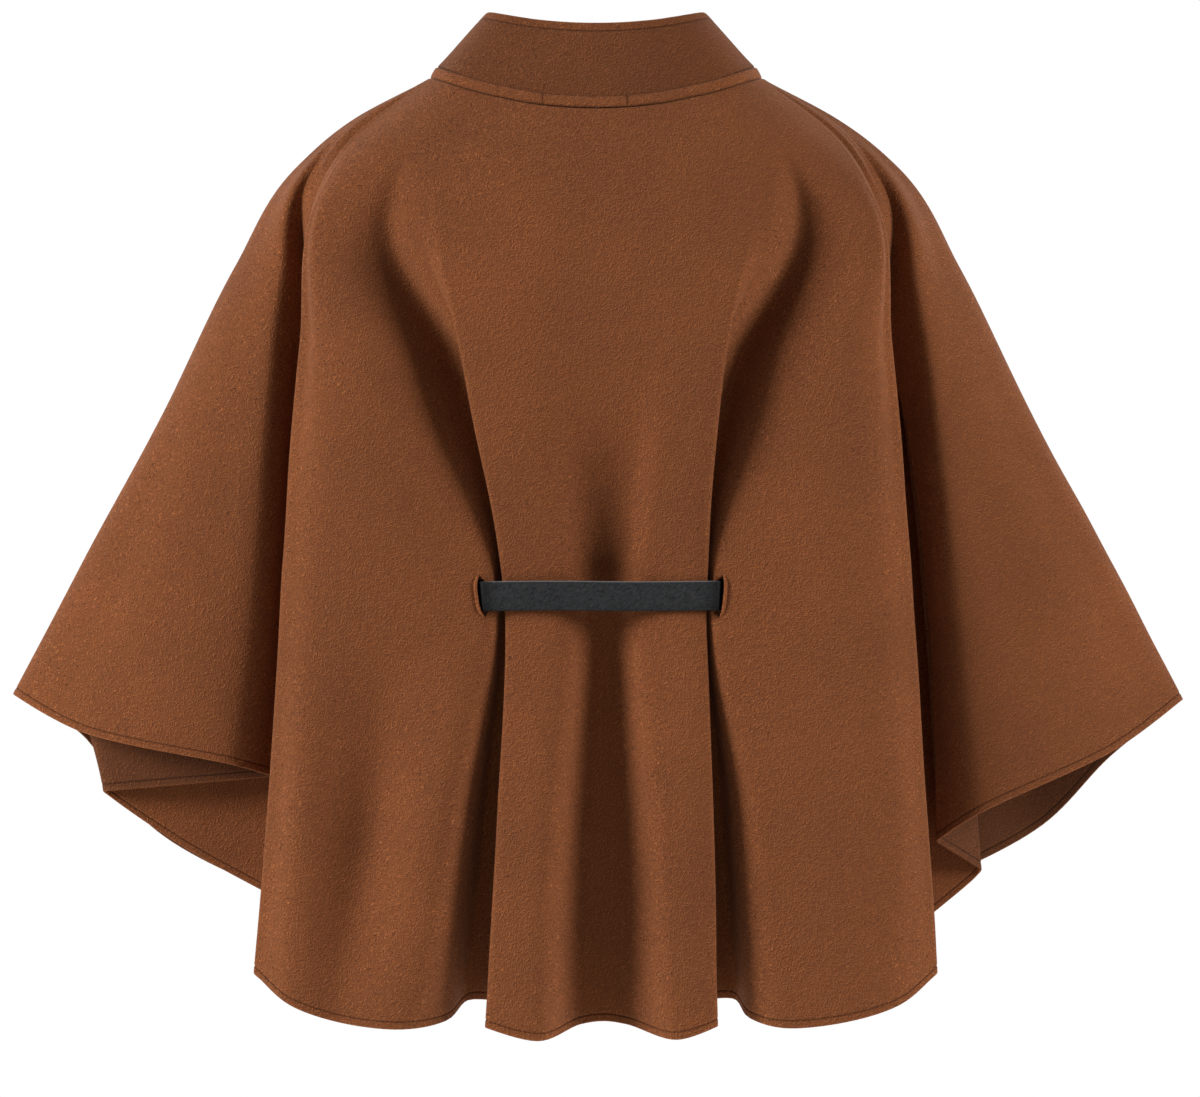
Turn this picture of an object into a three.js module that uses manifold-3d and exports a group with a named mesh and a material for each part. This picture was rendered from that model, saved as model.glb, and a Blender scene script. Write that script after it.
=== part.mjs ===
// A hip-length cape of brown wool coating, filled out as when worn, in millimetres.
// The wearer's left is +X, the back is +Y and up is +Z. The origin is the middle of the neck opening.
// One loop of cloth hangs from the neck seam: a back and two fronts, sewn together along the top of each arm.
// A narrow leather belt lies across the small of the back, goes in through two slits and runs round inside.
import * as THREE from "three";
import { mergeVertices } from "three/addons/utils/BufferGeometryUtils.js";
import Module from "manifold-3d";

const wasm = await Module();
wasm.setup();

// Driving sizes
const CLOTH = 2.4;
const SEAM_GAP = 0.4;
const COLLAR_CLOTH = 3;
const WELT = { thickness: 2.8, clear: 0.7 };
const LAP = { half: 27, step: 1.8 };
const BELT = { width: 22, thickness: 2.6, top: -375.5 };
const BUTTON = { radius: 12, thickness: 4, shank: 1.6, sides: 16 };

// The neck seam and the ring below it: half width, reach to the back and to the front, and squareness
const NECK = { half: 127, back: 89, front: 98, power: 2.1, sideZ: 6, backZ: -24.5, frontZ: -58 };
const YOKE = { half: 181, back: 106, front: 114, power: 2.3 };
const COLLAR_TOP = { half: 85, back: 66, front: 72, sideZ: 57, backZ: 42, frontZ: 8 };

// Where the shape is set, as shares of the drop from the neck seam to the hem
const LEVELS = { neck: 0, yoke: 0.06, shoulder: 0.14, blade: 0.3, waist: 0.54, low: 0.77, hem: 1 };

// Each row is one line of the cloth from neck to hem. angle: its place round the neck, in degrees from the
// side to the back. hem: the hem's height there. turn: the radius of a fold's edge, or 0 on an open stretch.
// Then its distance out from the centre and its place front to back at five levels.
const COLUMNS = ["line", "angle", "hem", "turn",
  "shoulderX", "shoulderY", "bladeX", "bladeY", "waistX", "waistY", "lowX", "lowY", "hemX", "hemY"];
const CENTRE = [
  ["centre back", 90, -703, 0, -9, 117, -9, 117, -7, 74, -6, 80, -6, 86],
];
const LEFT_BACK = [
  ["valley side", 81, -705, 0, 22, 117, 15, 119, 2, 78, 6, 82, 11, 88],
  ["centre ridge", 68, -713, 0, 62, 117, 51, 127, 24, 98.6, 36, 124, 43, 129],
  ["pleat edge", 52, -704, 3, 116, 107, 97, 121, 68, 99, 71, 118, 80, 120],
  ["pleat back", 49, -690, 3, 131, 98, 88, 102, 44, 90.5, 45, 98, 49, 98],
  ["pleat floor", 45, -689, 0, 154, 83, 105, 83, 69, 86, 80, 70, 96, 71],
  ["panel roll", 41, -701, 0, 171, 86, 127, 98, 76, 100.5, 93, 100, 112, 102],
  ["slit side", 36, -705, 0, 184, 86, 150, 113, 95, 105, 118, 121, 143, 124],
  ["side panel", 28, -701, 0, 196, 81, 177, 117, 153, 112, 169, 102, 192, 108],
  ["panel bow", 21, -689, 0, 203, 75, 206, 102, 204, 106, 217, 111, 226, 107],
  ["armhole edge", 16, -668, 6, 207, 67, 220, 80, 231, 86, 241, 87, 254, 80],
  ["armhole back", 13, -640, 5, 209, 49, 205, 42, 198, 24, 202, 14, 208, 10],
  ["under layer", 11, -582, 0, 211, 39, 219, 14, 250, 4, 298, -3, 312, -4],
  ["under fold", 9, -537, 4, 213, 31, 235, 6, 318, 2, 394, 2, 375, 2],
  ["wing fold", 6.5, -524, 4, 216, 26, 218, 24, 224, 30, 231, 31, 245, 32],
  ["wing middle", 3.5, -514, 0, 221, 26, 238, 43, 250, 56, 258, 58, 273, 56],
  ["wing outer", 1.5, -491, 0, 225, 11, 262, 21, 304, 30, 350, 33, 388, 29],
];
const RIGHT_BACK = [
  ["valley side", 81, -705, 0, 38, 117, 32, 119, 17, 78, 19, 82, 22, 88],
  ["centre ridge", 68, -712, 0, 66, 116, 57, 127, 38, 99.1, 51, 124, 60, 129],
  ["pleat edge", 52, -703, 3, 113, 107, 93, 121, 81, 99, 86, 118, 89, 120],
  ["pleat back", 49, -690, 3, 131, 96, 84, 102, 56, 90.5, 59, 98, 61, 98],
  ["pleat floor", 45, -688, 0, 152, 78, 106, 80, 81, 86, 92, 70, 102, 70],
  ["panel roll", 41, -699, 0, 170, 84, 127, 99, 88, 100.5, 102, 102, 114, 103],
  ["slit side", 36, -704, 0, 184, 84, 154, 112, 104, 105, 124, 121, 138, 124],
  ["side panel", 28, -700, 0, 197, 80, 182, 116, 161, 115, 172, 121, 182, 124],
  ["panel bow", 21, -689, 0, 204, 74, 208, 102, 208, 106, 219, 108, 224, 105],
  ["armhole edge", 16, -668, 6, 207, 67, 220, 80, 233, 86, 243, 86, 253, 80],
  ["armhole back", 13, -674, 5, 209, 49, 205, 42, 198, 24, 202, 14, 208, 10],
  ["under fold", 9, -597, 4, 212, 34, 233, 6, 257, 1, 281, 1, 294, 3],
  ["wing fold", 6.5, -573, 5, 216, 26, 222, 24, 236, 30, 247, 31, 259, 32],
  ["wing middle", 3.5, -550, 0, 222, 26, 243, 44, 261, 56, 274, 58, 289, 56],
  ["wing outer", 1.5, -505, 0, 226, 11, 264, 21, 309, 30, 356, 33, 391, 29],
];
const LEFT_ARM = [["arm seam", 0, -464, 0, 227, -2, 275, -6, 330, -10, 390, -14, 447, -18]];
const RIGHT_ARM = [["arm seam", 0, -468, 0, 229, -2, 277, -6, 334, -10, 393, -14, 450, -18]];
const FRONT = [
  ["wing front", -2, -512, 0, 226, -12, 268, -34, 314, -44, 364, -48, 400, -52],
  ["wing inner", -6, -568, 0, 222, -30, 252, -62, 282, -74, 312, -80, 350, -84],
  ["front armhole", -12, -608, 0, 215, -52, 228, -74, 242, -82, 256, -84, 276, -86],
  ["front bow", -22, -636, 0, 201, -84, 207, -112, 208, -118, 210, -120, 216, -124],
  ["front dip", -38, -658, 0, 160, -108, 152, -130, 150, -124, 152, -122, 156, -122],
  ["front ridge", -60, -672, 0, 96, -126, 86, -146, 84, -146, 86, -147, 90, -150],
  ["front lap", -75, -677, 0, 46, -131, 42, -145, 42, -142, 42, -142, 42, -143.5],
  ["centre front", -90, -678, 0, 0, -132, 0, -144, 0, -140, 0, -140, 0, -141],
];
// How much higher the left front hangs than the right one, at some lines
const LEFT_WING_LIFT = { "wing front": 17, "front armhole": -3 };

// Samples along the cloth: the longest step along the hem, and the heights of the rows
const HEM_STEP = 20;
const ROWS = [0, 0.03, 0.06, 0.1, 0.14, 0.2, 0.27, 0.35, 0.43, 0.505, 0.54, 0.575, 0.65, 0.76, 0.88, 1];

const radians = THREE.MathUtils.degToRad;

// A point of a squared ellipse. The angle runs from the side (0) to the back (90) and the front (-90).
function ringPoint(ring, angle) {
  const c = Math.cos(radians(angle));
  const s = Math.sin(radians(angle));
  const bend = 2 / ring.power;
  return [
    Math.sign(c) * ring.half * Math.abs(c) ** bend,
    (s > 0 ? ring.back : -ring.front) * Math.abs(s) ** bend,
  ];
}

function ringHeight(ring, angle) {
  const s = Math.sin(radians(angle));
  return ring.sideZ + ((s > 0 ? ring.backZ : ring.frontZ) - ring.sideZ) * s * s;
}

// One row of a table as an object, with its plan position at every level, on the side given by sign.
function clothLine(row, sign) {
  const r = Object.fromEntries(COLUMNS.map((name, i) => [name, row[i]]));
  const rings = [NECK, YOKE].map((ring) => ringPoint(ring, r.angle));
  const set = ["shoulder", "blade", "waist", "low", "hem"].map((level) => [r[level + "X"], r[level + "Y"]]);
  return {
    name: r.line,
    turn: r.turn,
    neckZ: ringHeight(NECK, r.angle),
    hemZ: r.hem,
    plan: [...rings, ...set].map(([x, y]) => [sign * x, y]),
  };
}

// A line beside another, moved in plan by an amount for each level.
function beside(line, name, move) {
  return { ...line, name, plan: line.plan.map(([x, y], level) => [x + move(level)[0], y + move(level)[1]]) };
}

// A fold's edge is three lines: one each side of the edge, and the edge itself.
// Near the neck, where there is no fold yet, they lie a little apart along the ring.
// The hem's height goes on along it no further than the fold is rounded.
function foldEdge(before, line, after) {
  const hem = line.plan.length - 1;
  const firstFolded = 3;
  const reach = Math.sign(line.plan[hem][0] - (before.plan[hem][0] + after.plan[hem][0]) / 2);
  const across = Math.sign(before.plan[hem][1] - after.plan[hem][1]);
  const apart = 0.28;
  const rounded = 1.6;
  const side = (name, neighbour, way) => {
    const made = beside(line, `${line.name} ${name}`, (level) => {
      if (level < firstFolded)
        return [0, 1].map((k) => (neighbour.plan[level][k] - line.plan[level][k]) * apart);
      return [-reach * line.turn, way * across * line.turn];
    });
    const width = Math.hypot(...[0, 1].map((k) => neighbour.plan[hem][k] - line.plan[hem][k]));
    made.neckZ = THREE.MathUtils.lerp(line.neckZ, neighbour.neckZ, apart);
    made.hemZ = THREE.MathUtils.lerp(line.hemZ, neighbour.hemZ, Math.min(apart, (rounded * line.turn) / width));
    return made;
  };
  return [side("in", before, 1), line, side("out", after, -1)];
}

// The whole loop of cloth, from the left front's edge round the back to the right front's edge
const rows = (table, sign) => table.map((row) => clothLine(row, sign));
// Past the centre each front goes on to its edge. The right front laps over the left one, so near the
// centre the right one is moved out a little and the left one in.
function withLap(front, outward) {
  const [centre, lap] = front;
  const share = (level) => LAP.half / Math.abs(lap.plan[level][0]);
  const edge = beside(centre, "front edge", (level) => [
    -lap.plan[level][0] * share(level),
    (lap.plan[level][1] - centre.plan[level][1]) * share(level),
  ]);
  edge.neckZ = THREE.MathUtils.lerp(centre.neckZ, lap.neckZ, share(0));
  edge.hemZ = THREE.MathUtils.lerp(centre.hemZ, lap.hemZ, share(0));
  const stepped = [edge, centre, lap].map((line) => beside(line, line.name, () => [0, -outward * LAP.step]));
  return [...stepped, ...front.slice(2)];
}
const leftFront = withLap(
  rows(FRONT, 1)
    .map((line) => ({ ...line, hemZ: line.hemZ + (LEFT_WING_LIFT[line.name] || 0) }))
    .reverse(),
  -1,
);
const rightFront = withLap(rows(FRONT, -1).reverse(), 1).reverse();

const keyLines = [
  ...leftFront,
  ...rows(LEFT_ARM, 1),
  ...rows(LEFT_BACK, 1).reverse(),
  ...rows(CENTRE, 1),
  ...rows(RIGHT_BACK, -1),
  ...rows(RIGHT_ARM, -1),
  ...rightFront,
];
const lines = keyLines.flatMap((line, i) =>
  line.turn ? foldEdge(keyLines[i - 1], line, keyLines[i + 1]) : [line],
);
const seams = lines.flatMap((line, i) => (line.name === "arm seam" ? [i] : []));

// A smooth curve through values at uneven places
function through(places, values, at) {
  const last = places.length - 1;
  let i = 0;
  while (i < last - 1 && at > places[i + 1]) i++;
  const slope = (k) => (values[k + 1] - values[k]) / (places[k + 1] - places[k]);
  const tangent = (k) => {
    if (k === 0) return slope(0);
    if (k === last) return slope(last - 1);
    const before = places[k] - places[k - 1];
    const after = places[k + 1] - places[k];
    return (after * slope(k - 1) + before * slope(k)) / (before + after);
  };
  const h = places[i + 1] - places[i];
  const t = (at - places[i]) / h;
  return (
    values[i] * (1 + 2 * t) * (1 - t) ** 2 +
    tangent(i) * h * t * (1 - t) ** 2 +
    values[i + 1] * t * t * (3 - 2 * t) +
    tangent(i + 1) * h * t * t * (t - 1)
  );
}

const PLACES = Object.values(LEVELS);

// The curve of the cloth across all the lines, at one share of the drop
function section(share) {
  const points = lines.map(
    (line) =>
      new THREE.Vector3(
        through(PLACES, line.plan.map((p) => p[0]), share),
        through(PLACES, line.plan.map((p) => p[1]), share),
        line.neckZ + (line.hemZ - line.neckZ) * share,
      ),
  );
  const curve = new THREE.CatmullRomCurve3(points, false, "centripetal");
  return (place) => curve.getPoint(place / (lines.length - 1));
}

// A point of the middle of the cloth, and its direction outwards, from nearby points
const STEP = 0.02;
const sections = new Map();
function sectionAt(share) {
  const key = share.toFixed(5);
  if (!sections.has(key)) sections.set(key, section(share));
  return sections.get(key);
}
function clothAt(place, share) {
  const row = sectionAt(share);
  const point = row(place);
  const along = row(Math.min(place + STEP, lines.length - 1)).sub(row(Math.max(place - STEP, 0)));
  const down = sectionAt(Math.min(share + STEP, 1))(place).sub(sectionAt(Math.max(share - STEP, 0))(place));
  return { point, along: along.normalize(), out: down.cross(along).normalize() };
}

// A wall of a given thickness over a grid of middle points. at(i, j) gives a point and its direction outwards.
function wall(columns, rowCount, at, thickness) {
  const outer = [];
  const inner = [];
  for (let j = 0; j < rowCount; j++)
    for (let i = 0; i < columns; i++) {
      const { point, out, proud = 0 } = at(i, j);
      outer.push(point.clone().addScaledVector(out, thickness / 2 + proud));
      inner.push(point.clone().addScaledVector(out, -thickness / 2));
    }
  const index = [];
  const quad = (a, b, c, d) => index.push(a, b, c, a, c, d);
  const n = outer.length;
  for (let j = 0; j + 1 < rowCount; j++)
    for (let i = 0; i + 1 < columns; i++) {
      const a = j * columns + i;
      quad(a, a + columns, a + columns + 1, a + 1);
      quad(n + a, n + a + 1, n + a + columns + 1, n + a + columns);
    }
  for (let i = 0; i + 1 < columns; i++) {
    const foot = (rowCount - 1) * columns + i;
    quad(i, i + 1, n + i + 1, n + i);
    quad(foot + 1, foot, n + foot, n + foot + 1);
  }
  for (let j = 0; j + 1 < rowCount; j++) {
    const a = j * columns;
    const b = a + columns - 1;
    quad(a + columns, a, n + a, n + a + columns);
    quad(b, b + columns, n + b + columns, n + b);
  }
  const geometry = new THREE.BufferGeometry();
  const points = [...outer, ...inner].flatMap((p) => p.toArray());
  geometry.setAttribute("position", new THREE.Float32BufferAttribute(points, 3));
  geometry.setIndex(index);
  geometry.computeVertexNormals();
  return geometry;
}

// Places along the loop from one line to another, close enough together at the hem
function placesBetween(first, last) {
  const hem = sectionAt(1);
  const found = [];
  for (let k = first; k < last; k++) {
    const span = hem(k).distanceTo(hem(k + 1));
    const count = Math.max(1, Math.ceil(span / HEM_STEP));
    for (let s = 0; s < count; s++) found.push(k + s / count);
  }
  return [...found, last];
}

function clothPiece(first, last) {
  const places = placesBetween(first, last);
  const seamed = (place) => seams.includes(place);
  const at = (i, j) => {
    const spot = clothAt(places[i], ROWS[j]);
    if (i === 0 && seamed(first)) spot.point.addScaledVector(spot.along, SEAM_GAP / 2);
    if (i === places.length - 1 && seamed(last)) spot.point.addScaledVector(spot.along, -SEAM_GAP / 2);
    return spot;
  };
  return wall(places.length, ROWS.length, at, CLOTH);
}

// Solids for cutting
function solidOf(geometry) {
  const bare = geometry.clone();
  bare.deleteAttribute("normal");
  bare.deleteAttribute("uv");
  const merged = mergeVertices(bare, 1e-4);
  return new wasm.Manifold(
    new wasm.Mesh({
      numProp: 3,
      vertProperties: merged.attributes.position.array,
      triVerts: new Uint32Array(merged.index.array),
    }),
  );
}

function geometryOf(solid) {
  const mesh = solid.getMesh();
  const geometry = new THREE.BufferGeometry();
  geometry.setAttribute("position", new THREE.BufferAttribute(new Float32Array(mesh.vertProperties), 3));
  geometry.setIndex(new THREE.BufferAttribute(new Uint32Array(mesh.triVerts), 1));
  geometry.computeVertexNormals();
  return geometry;
}

// The belt's slits: upright cuts that lean a little. foot and head: each slit's two ends, out from the centre.
// near and far: how far its edges bow from a straight line between them.
const SLIT = { top: -371.3, bottom: -402, from: 80, to: 118, steps: 10, blunt: 6 };
const SLITS = [
  { side: 1, foot: 82.1, head: 86.2, near: -4.6, far: 3.2 },
  { side: -1, foot: 91, head: 93.8, near: -5, far: 2 },
];
function slitCutter({ side, foot, head, near, far }) {
  const corner = (bow, t) =>
    new THREE.Vector2(
      side * (THREE.MathUtils.lerp(foot, head, t) + bow * (1 - Math.abs(2 * t - 1) ** SLIT.blunt)),
      THREE.MathUtils.lerp(SLIT.bottom, SLIT.top, t),
    );
  const outline = [];
  for (let k = 0; k < SLIT.steps; k++) outline.push(corner(near, k / SLIT.steps));
  for (let k = SLIT.steps; k > 0; k--) outline.push(corner(far, k / SLIT.steps));
  const depth = SLIT.to - SLIT.from;
  const prism = new THREE.ExtrudeGeometry(new THREE.Shape(outline), { depth, bevelEnabled: false });
  prism.rotateX(Math.PI / 2);
  prism.translate(0, SLIT.to, 0);
  return solidOf(prism);
}

// The belt's way, in plan: flat across the back, in through each slit and round the waist inside.
// lean: how far its top edge lies to the left of its lower edge.
const BELT_PATH = [
  { at: "centre back", x: 0, y: 106.6, lean: 0 },
  { at: "left back", x: 45, y: 106.6, lean: 0 },
  { at: "left back, before the slit", x: 80, y: 106.6, lean: 0.8 },
  { at: "left, turning in", x: 83.2, y: 105.6, lean: 1.8 },
  { at: "left, in the slit", x: 84.8, y: 102.3, lean: 2.2 },
  { at: "left, behind the slit", x: 87, y: 97.5, lean: 2.2 },
  { at: "left side back", x: 121, y: 74, lean: 0 },
  { at: "left side", x: 146, y: 6, lean: 0 },
  { at: "left side front", x: 121, y: -68, lean: 0 },
  { at: "left front", x: 62, y: -96, lean: 0 },
  { at: "centre front", x: 0, y: -102, lean: 0 },
  { at: "right front", x: -62, y: -96, lean: 0 },
  { at: "right side front", x: -121, y: -68, lean: 0 },
  { at: "right side", x: -147, y: 6, lean: 0 },
  { at: "right side back", x: -126, y: 73, lean: 0 },
  { at: "right, behind the slit", x: -93.6, y: 97.5, lean: -1.4 },
  { at: "right, in the slit", x: -91.4, y: 102.3, lean: -1.4 },
  { at: "right, turning in", x: -89.8, y: 105.6, lean: -1.1 },
  { at: "right back, before the slit", x: -86.6, y: 106.6, lean: -0.5 },
  { at: "right back", x: -48, y: 106.6, lean: 0 },
];
const BELT_STEPS = 5;

// A closed loop of four corner points at each step: outside foot, outside top, inside top, inside foot
function beltGeometry() {
  const spots = BELT_PATH.map(({ x, y, lean }) => new THREE.Vector3(x, y, lean));
  const path = new THREE.CatmullRomCurve3(spots, true, "centripetal");
  const count = BELT_PATH.length * BELT_STEPS;
  const corners = [];
  for (let k = 0; k < count; k++) {
    const point = path.getPoint(k / count);
    const along = path.getTangent(k / count).setZ(0).normalize();
    const out = new THREE.Vector3(along.y, -along.x, 0).multiplyScalar(-BELT.thickness / 2);
    const lean = point.z / 2;
    const rims = [
      [1, -1],
      [1, 1],
      [-1, 1],
      [-1, -1],
    ];
    for (const [way, rise] of rims) {
      const corner = point.clone().addScaledVector(out, way);
      corner.x += rise * lean;
      corners.push(corner.setZ(BELT.top + ((rise - 1) * BELT.width) / 2));
    }
  }
  const index = [];
  for (let k = 0; k < count; k++)
    for (let c = 0; c < 4; c++) {
      const here = 4 * k + c;
      const up = 4 * k + ((c + 1) % 4);
      const next = 4 * ((k + 1) % count) + c;
      const nextUp = 4 * ((k + 1) % count) + ((c + 1) % 4);
      index.push(here, up, nextUp, here, nextUp, next);
    }
  const geometry = new THREE.BufferGeometry().setFromPoints(corners);
  geometry.setIndex(index);
  geometry.computeVertexNormals();
  return geometry;
}

// The buckle: a plain flat frame lying on the belt at the centre front
const BUCKLE = { width: 34, height: 36, bar: 5, thickness: 3, round: 6 };
function roundedRectangle(Kind, width, height, round) {
  const x = width / 2 - round;
  const y = height / 2 - round;
  const path = new Kind();
  path.absarc(x, y, round, 0, Math.PI / 2);
  path.absarc(-x, y, round, Math.PI / 2, Math.PI);
  path.absarc(-x, -y, round, Math.PI, 1.5 * Math.PI);
  path.absarc(x, -y, round, 1.5 * Math.PI, 2 * Math.PI);
  return path;
}
function buckleGeometry() {
  const { width, height, bar, thickness, round } = BUCKLE;
  const shape = roundedRectangle(THREE.Shape, width, height, round);
  shape.holes.push(roundedRectangle(THREE.Path, width - 2 * bar, height - 2 * bar, round - bar / 2));
  const frame = new THREE.ExtrudeGeometry(shape, { depth: thickness, bevelEnabled: false, curveSegments: 3 });
  frame.rotateX(Math.PI / 2);
  const front = BELT_PATH.find(({ at }) => at === "centre front").y;
  frame.translate(0, front - BELT.thickness / 2 - SEAM_GAP, BELT.top - BELT.width / 2);
  return frame;
}

// The neck pieces share one set of places round the neck seam, far enough apart there.
const NECK_STEP = 9;
const CENTRE_GAP = 1;
function neckPlaces() {
  const gap = CENTRE_GAP / 2 / sectionAt(0)(1).distanceTo(sectionAt(0)(2));
  const all = placesBetween(1, lines.length - 2);
  all[0] += gap;
  all[all.length - 1] -= gap;
  const kept = [all[0]];
  for (const place of all)
    if (sectionAt(0)(place).distanceTo(sectionAt(0)(kept.at(-1))) > NECK_STEP) kept.push(place);
  kept[kept.length - 1] = all.at(-1);
  return kept;
}

// The welt is a rolled edge that goes on from the body at the neck seam, a little steeper than the body.
// inward and up: each row's place from the neck seam.
const WELT_ROWS = [
  { inward: 3, up: 4.8, proud: 1 },
  { inward: 5.4, up: 9.2, proud: 0 },
];
function weltAt(place) {
  const { point, along, out } = clothAt(place, 0);
  const inward = new THREE.Vector3(-out.x, -out.y, 0).normalize();
  const foot = point.clone().addScaledVector(out.clone().cross(along), WELT.clear);
  const points = [foot];
  for (const row of WELT_ROWS) {
    const next = point.clone().addScaledVector(inward, row.inward);
    next.z += row.up;
    points.push(next);
  }
  const rise = points[2].clone().sub(points[1]).normalize();
  const face = along.clone().cross(rise).negate().normalize();
  if (face.dot(inward) > 0) face.negate();
  return [
    { point: points[0], out, proud: 0 },
    { point: points[1], out: face, proud: WELT_ROWS[0].proud },
    { point: points[2], out: face, proud: WELT_ROWS[1].proud },
  ];
}

// The collar stands inside the welt and draws in to its top edge.
const COLLAR_RISE = [0.3, 0.65, 1];
function collarAt(place) {
  const [, middle, top] = weltAt(place);
  const inside = (WELT.thickness + COLLAR_CLOTH) / 2 + SEAM_GAP;
  const set = [middle, top].map((row) => row.point.clone().addScaledVector(row.out, -inside));
  const seam = clothAt(place, 0).point;
  const reach = seam.y > 0 ? NECK.back : NECK.front;
  const within = Math.max(0, 1 - (Math.abs(seam.x) / NECK.half) ** NECK.power);
  const onRing = Math.sign(seam.y) * reach * within ** (1 / NECK.power);
  const topReach = seam.y > 0 ? COLLAR_TOP.back : COLLAR_TOP.front;
  const share = (onRing / reach) ** 2;
  const edge = new THREE.Vector3(
    (seam.x * COLLAR_TOP.half) / NECK.half,
    (onRing * topReach) / reach + (seam.y - onRing),
    COLLAR_TOP.sideZ + ((seam.y > 0 ? COLLAR_TOP.backZ : COLLAR_TOP.frontZ) - COLLAR_TOP.sideZ) * share,
  );
  const points = [...set, ...COLLAR_RISE.map((w) => set[1].clone().lerp(edge, w))];
  const rise = edge.clone().sub(set[1]);
  const face = rise.cross(clothAt(place, 0).along).normalize();
  if (face.dot(top.out) < 0) face.negate();
  return points.map((point, j) => ({ point, out: j < 2 ? top.out : face }));
}

function neckPiece(rowsAt, thickness) {
  const grid = neckPlaces().map(rowsAt);
  const last = grid[0].length - 1;
  return wall(grid.length, last + 1, (i, j) => grid[i][last - j], thickness);
}

// Buttons down the centre front, lying on the right front
const BUTTONS = { first: 0.045, last: 0.47, count: 4 };
function buttonGeometry() {
  const { radius, thickness, shank } = BUTTON;
  const profile = [
    [0, -shank],
    [radius * 0.35, -shank],
    [radius * 0.35, 0],
    [radius * 0.92, 0],
    [radius, thickness * 0.3],
    [radius, thickness * 0.75],
    [radius * 0.88, thickness],
    [radius * 0.7, thickness * 0.8],
    [0, thickness * 0.8],
  ].map(([r, h]) => new THREE.Vector2(r, h));
  return new THREE.LatheGeometry(profile, BUTTON.sides);
}

const WOOL = new THREE.Color().setRGB(0.2, 0.085, 0.035);
const BLACK = new THREE.Color().setRGB(0.02, 0.02, 0.021);
const wool = new THREE.MeshStandardMaterial({ color: WOOL, roughness: 0.95, metalness: 0 });
const leather = new THREE.MeshStandardMaterial({ color: BLACK, roughness: 0.45, metalness: 0 });
const horn = new THREE.MeshStandardMaterial({ color: BLACK, roughness: 0.3, metalness: 0 });

const group = new THREE.Group();
function add(name, geometry, material) {
  const mesh = new THREE.Mesh(geometry, material);
  mesh.name = name;
  group.add(mesh);
  return mesh;
}

let back = solidOf(clothPiece(seams[0], seams[1]));
for (const slit of SLITS) back = back.subtract(slitCutter(slit));
add("back", geometryOf(back), wool);
add("front_left", clothPiece(0, seams[0]), wool);
add("front_right", clothPiece(seams[1], lines.length - 1), wool);
add("neck_welt", neckPiece(weltAt, WELT.thickness), wool);
add("collar", neckPiece(collarAt, COLLAR_CLOTH), wool);
add("belt", beltGeometry(), leather);
add("buckle", buckleGeometry(), horn);

for (let k = 0; k < BUTTONS.count; k++) {
  const share = BUTTONS.first + ((BUTTONS.last - BUTTONS.first) * k) / (BUTTONS.count - 1);
  const { point, out } = clothAt(lines.length - 2, share);
  const button = add(`button_${k + 1}`, buttonGeometry(), horn);
  const lift = CLOTH / 2 + BUTTON.shank + SEAM_GAP;
  button.position.copy(point).addScaledVector(out, lift);
  button.quaternion.setFromUnitVectors(new THREE.Vector3(0, 1, 0), out);
}

export default group;
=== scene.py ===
"""A hip-length belted cape of brown wool coating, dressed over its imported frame.

The cloth is worked out in millimetres, by the same lines and levels as the solids, with finer folds,
turned hems, topstitching and raw slits. It becomes metres when it becomes a mesh.
"""
import math

import bmesh
import bpy
import numpy as np
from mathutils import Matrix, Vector


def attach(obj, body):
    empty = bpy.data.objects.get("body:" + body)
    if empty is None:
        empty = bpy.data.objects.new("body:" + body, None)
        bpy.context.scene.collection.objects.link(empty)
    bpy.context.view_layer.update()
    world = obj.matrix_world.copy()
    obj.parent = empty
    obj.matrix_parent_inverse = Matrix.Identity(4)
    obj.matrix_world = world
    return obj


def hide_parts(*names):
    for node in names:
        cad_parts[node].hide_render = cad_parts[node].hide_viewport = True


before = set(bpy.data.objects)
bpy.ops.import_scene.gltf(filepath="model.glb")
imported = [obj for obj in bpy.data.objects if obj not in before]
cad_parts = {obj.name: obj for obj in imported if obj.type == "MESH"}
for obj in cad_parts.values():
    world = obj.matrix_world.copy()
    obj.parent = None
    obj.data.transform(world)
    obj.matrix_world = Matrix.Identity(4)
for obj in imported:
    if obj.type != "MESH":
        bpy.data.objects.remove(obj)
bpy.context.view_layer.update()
MM = 0.001

# Cloth and trim, in millimetres. The arm seams run past each other by the tuck.
CLOTH = 2.4
SEAM_GAP = 0.4
SEAM_TUCK = 0.35
COLLAR_CLOTH = 3.0
WELT_CLOTH = 2.8
WELT_CLEAR = 0.7
WELT_MIDDLE = (3.0, 4.8)
WELT_TOP = (5.4, 9.2)
WELT_ROLL = 1.25
HEM_BAND = 5.6
COLLAR_BAND = 6.6
COLLAR_SINK = 1.15
COLLAR_PUFF = 2.1
LAP_HALF = 27.0
LAP_STEP = 1.8
BELT_WIDTH = 22.0
BELT_THICKNESS = 2.6
BELT_TOP = -375.5

# The neck seam and the ring below it: half width, reach to the back and to the front, and squareness
NECK = dict(half=127, back=89, front=98, power=2.1, side_z=6, back_z=-24.5, front_z=-58)
YOKE = dict(half=181, back=106, front=114, power=2.3)
COLLAR_TOP = dict(half=85, back=66, front=72, side_z=57, back_z=42, front_z=8)

# Where the shape is set, as shares of the drop from the neck seam to the hem
LEVELS = dict(neck=0, yoke=0.06, shoulder=0.14, blade=0.3, waist=0.54, low=0.77, hem=1)
FIRST_FOLDED = 3
# How far a fold's two sides lie from its edge, as a share of the way to the next lines, and how much further
# than its turning radius the hem bends there
FOLD_APART = 0.28
FOLD_ROUNDED = 1.6

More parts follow.
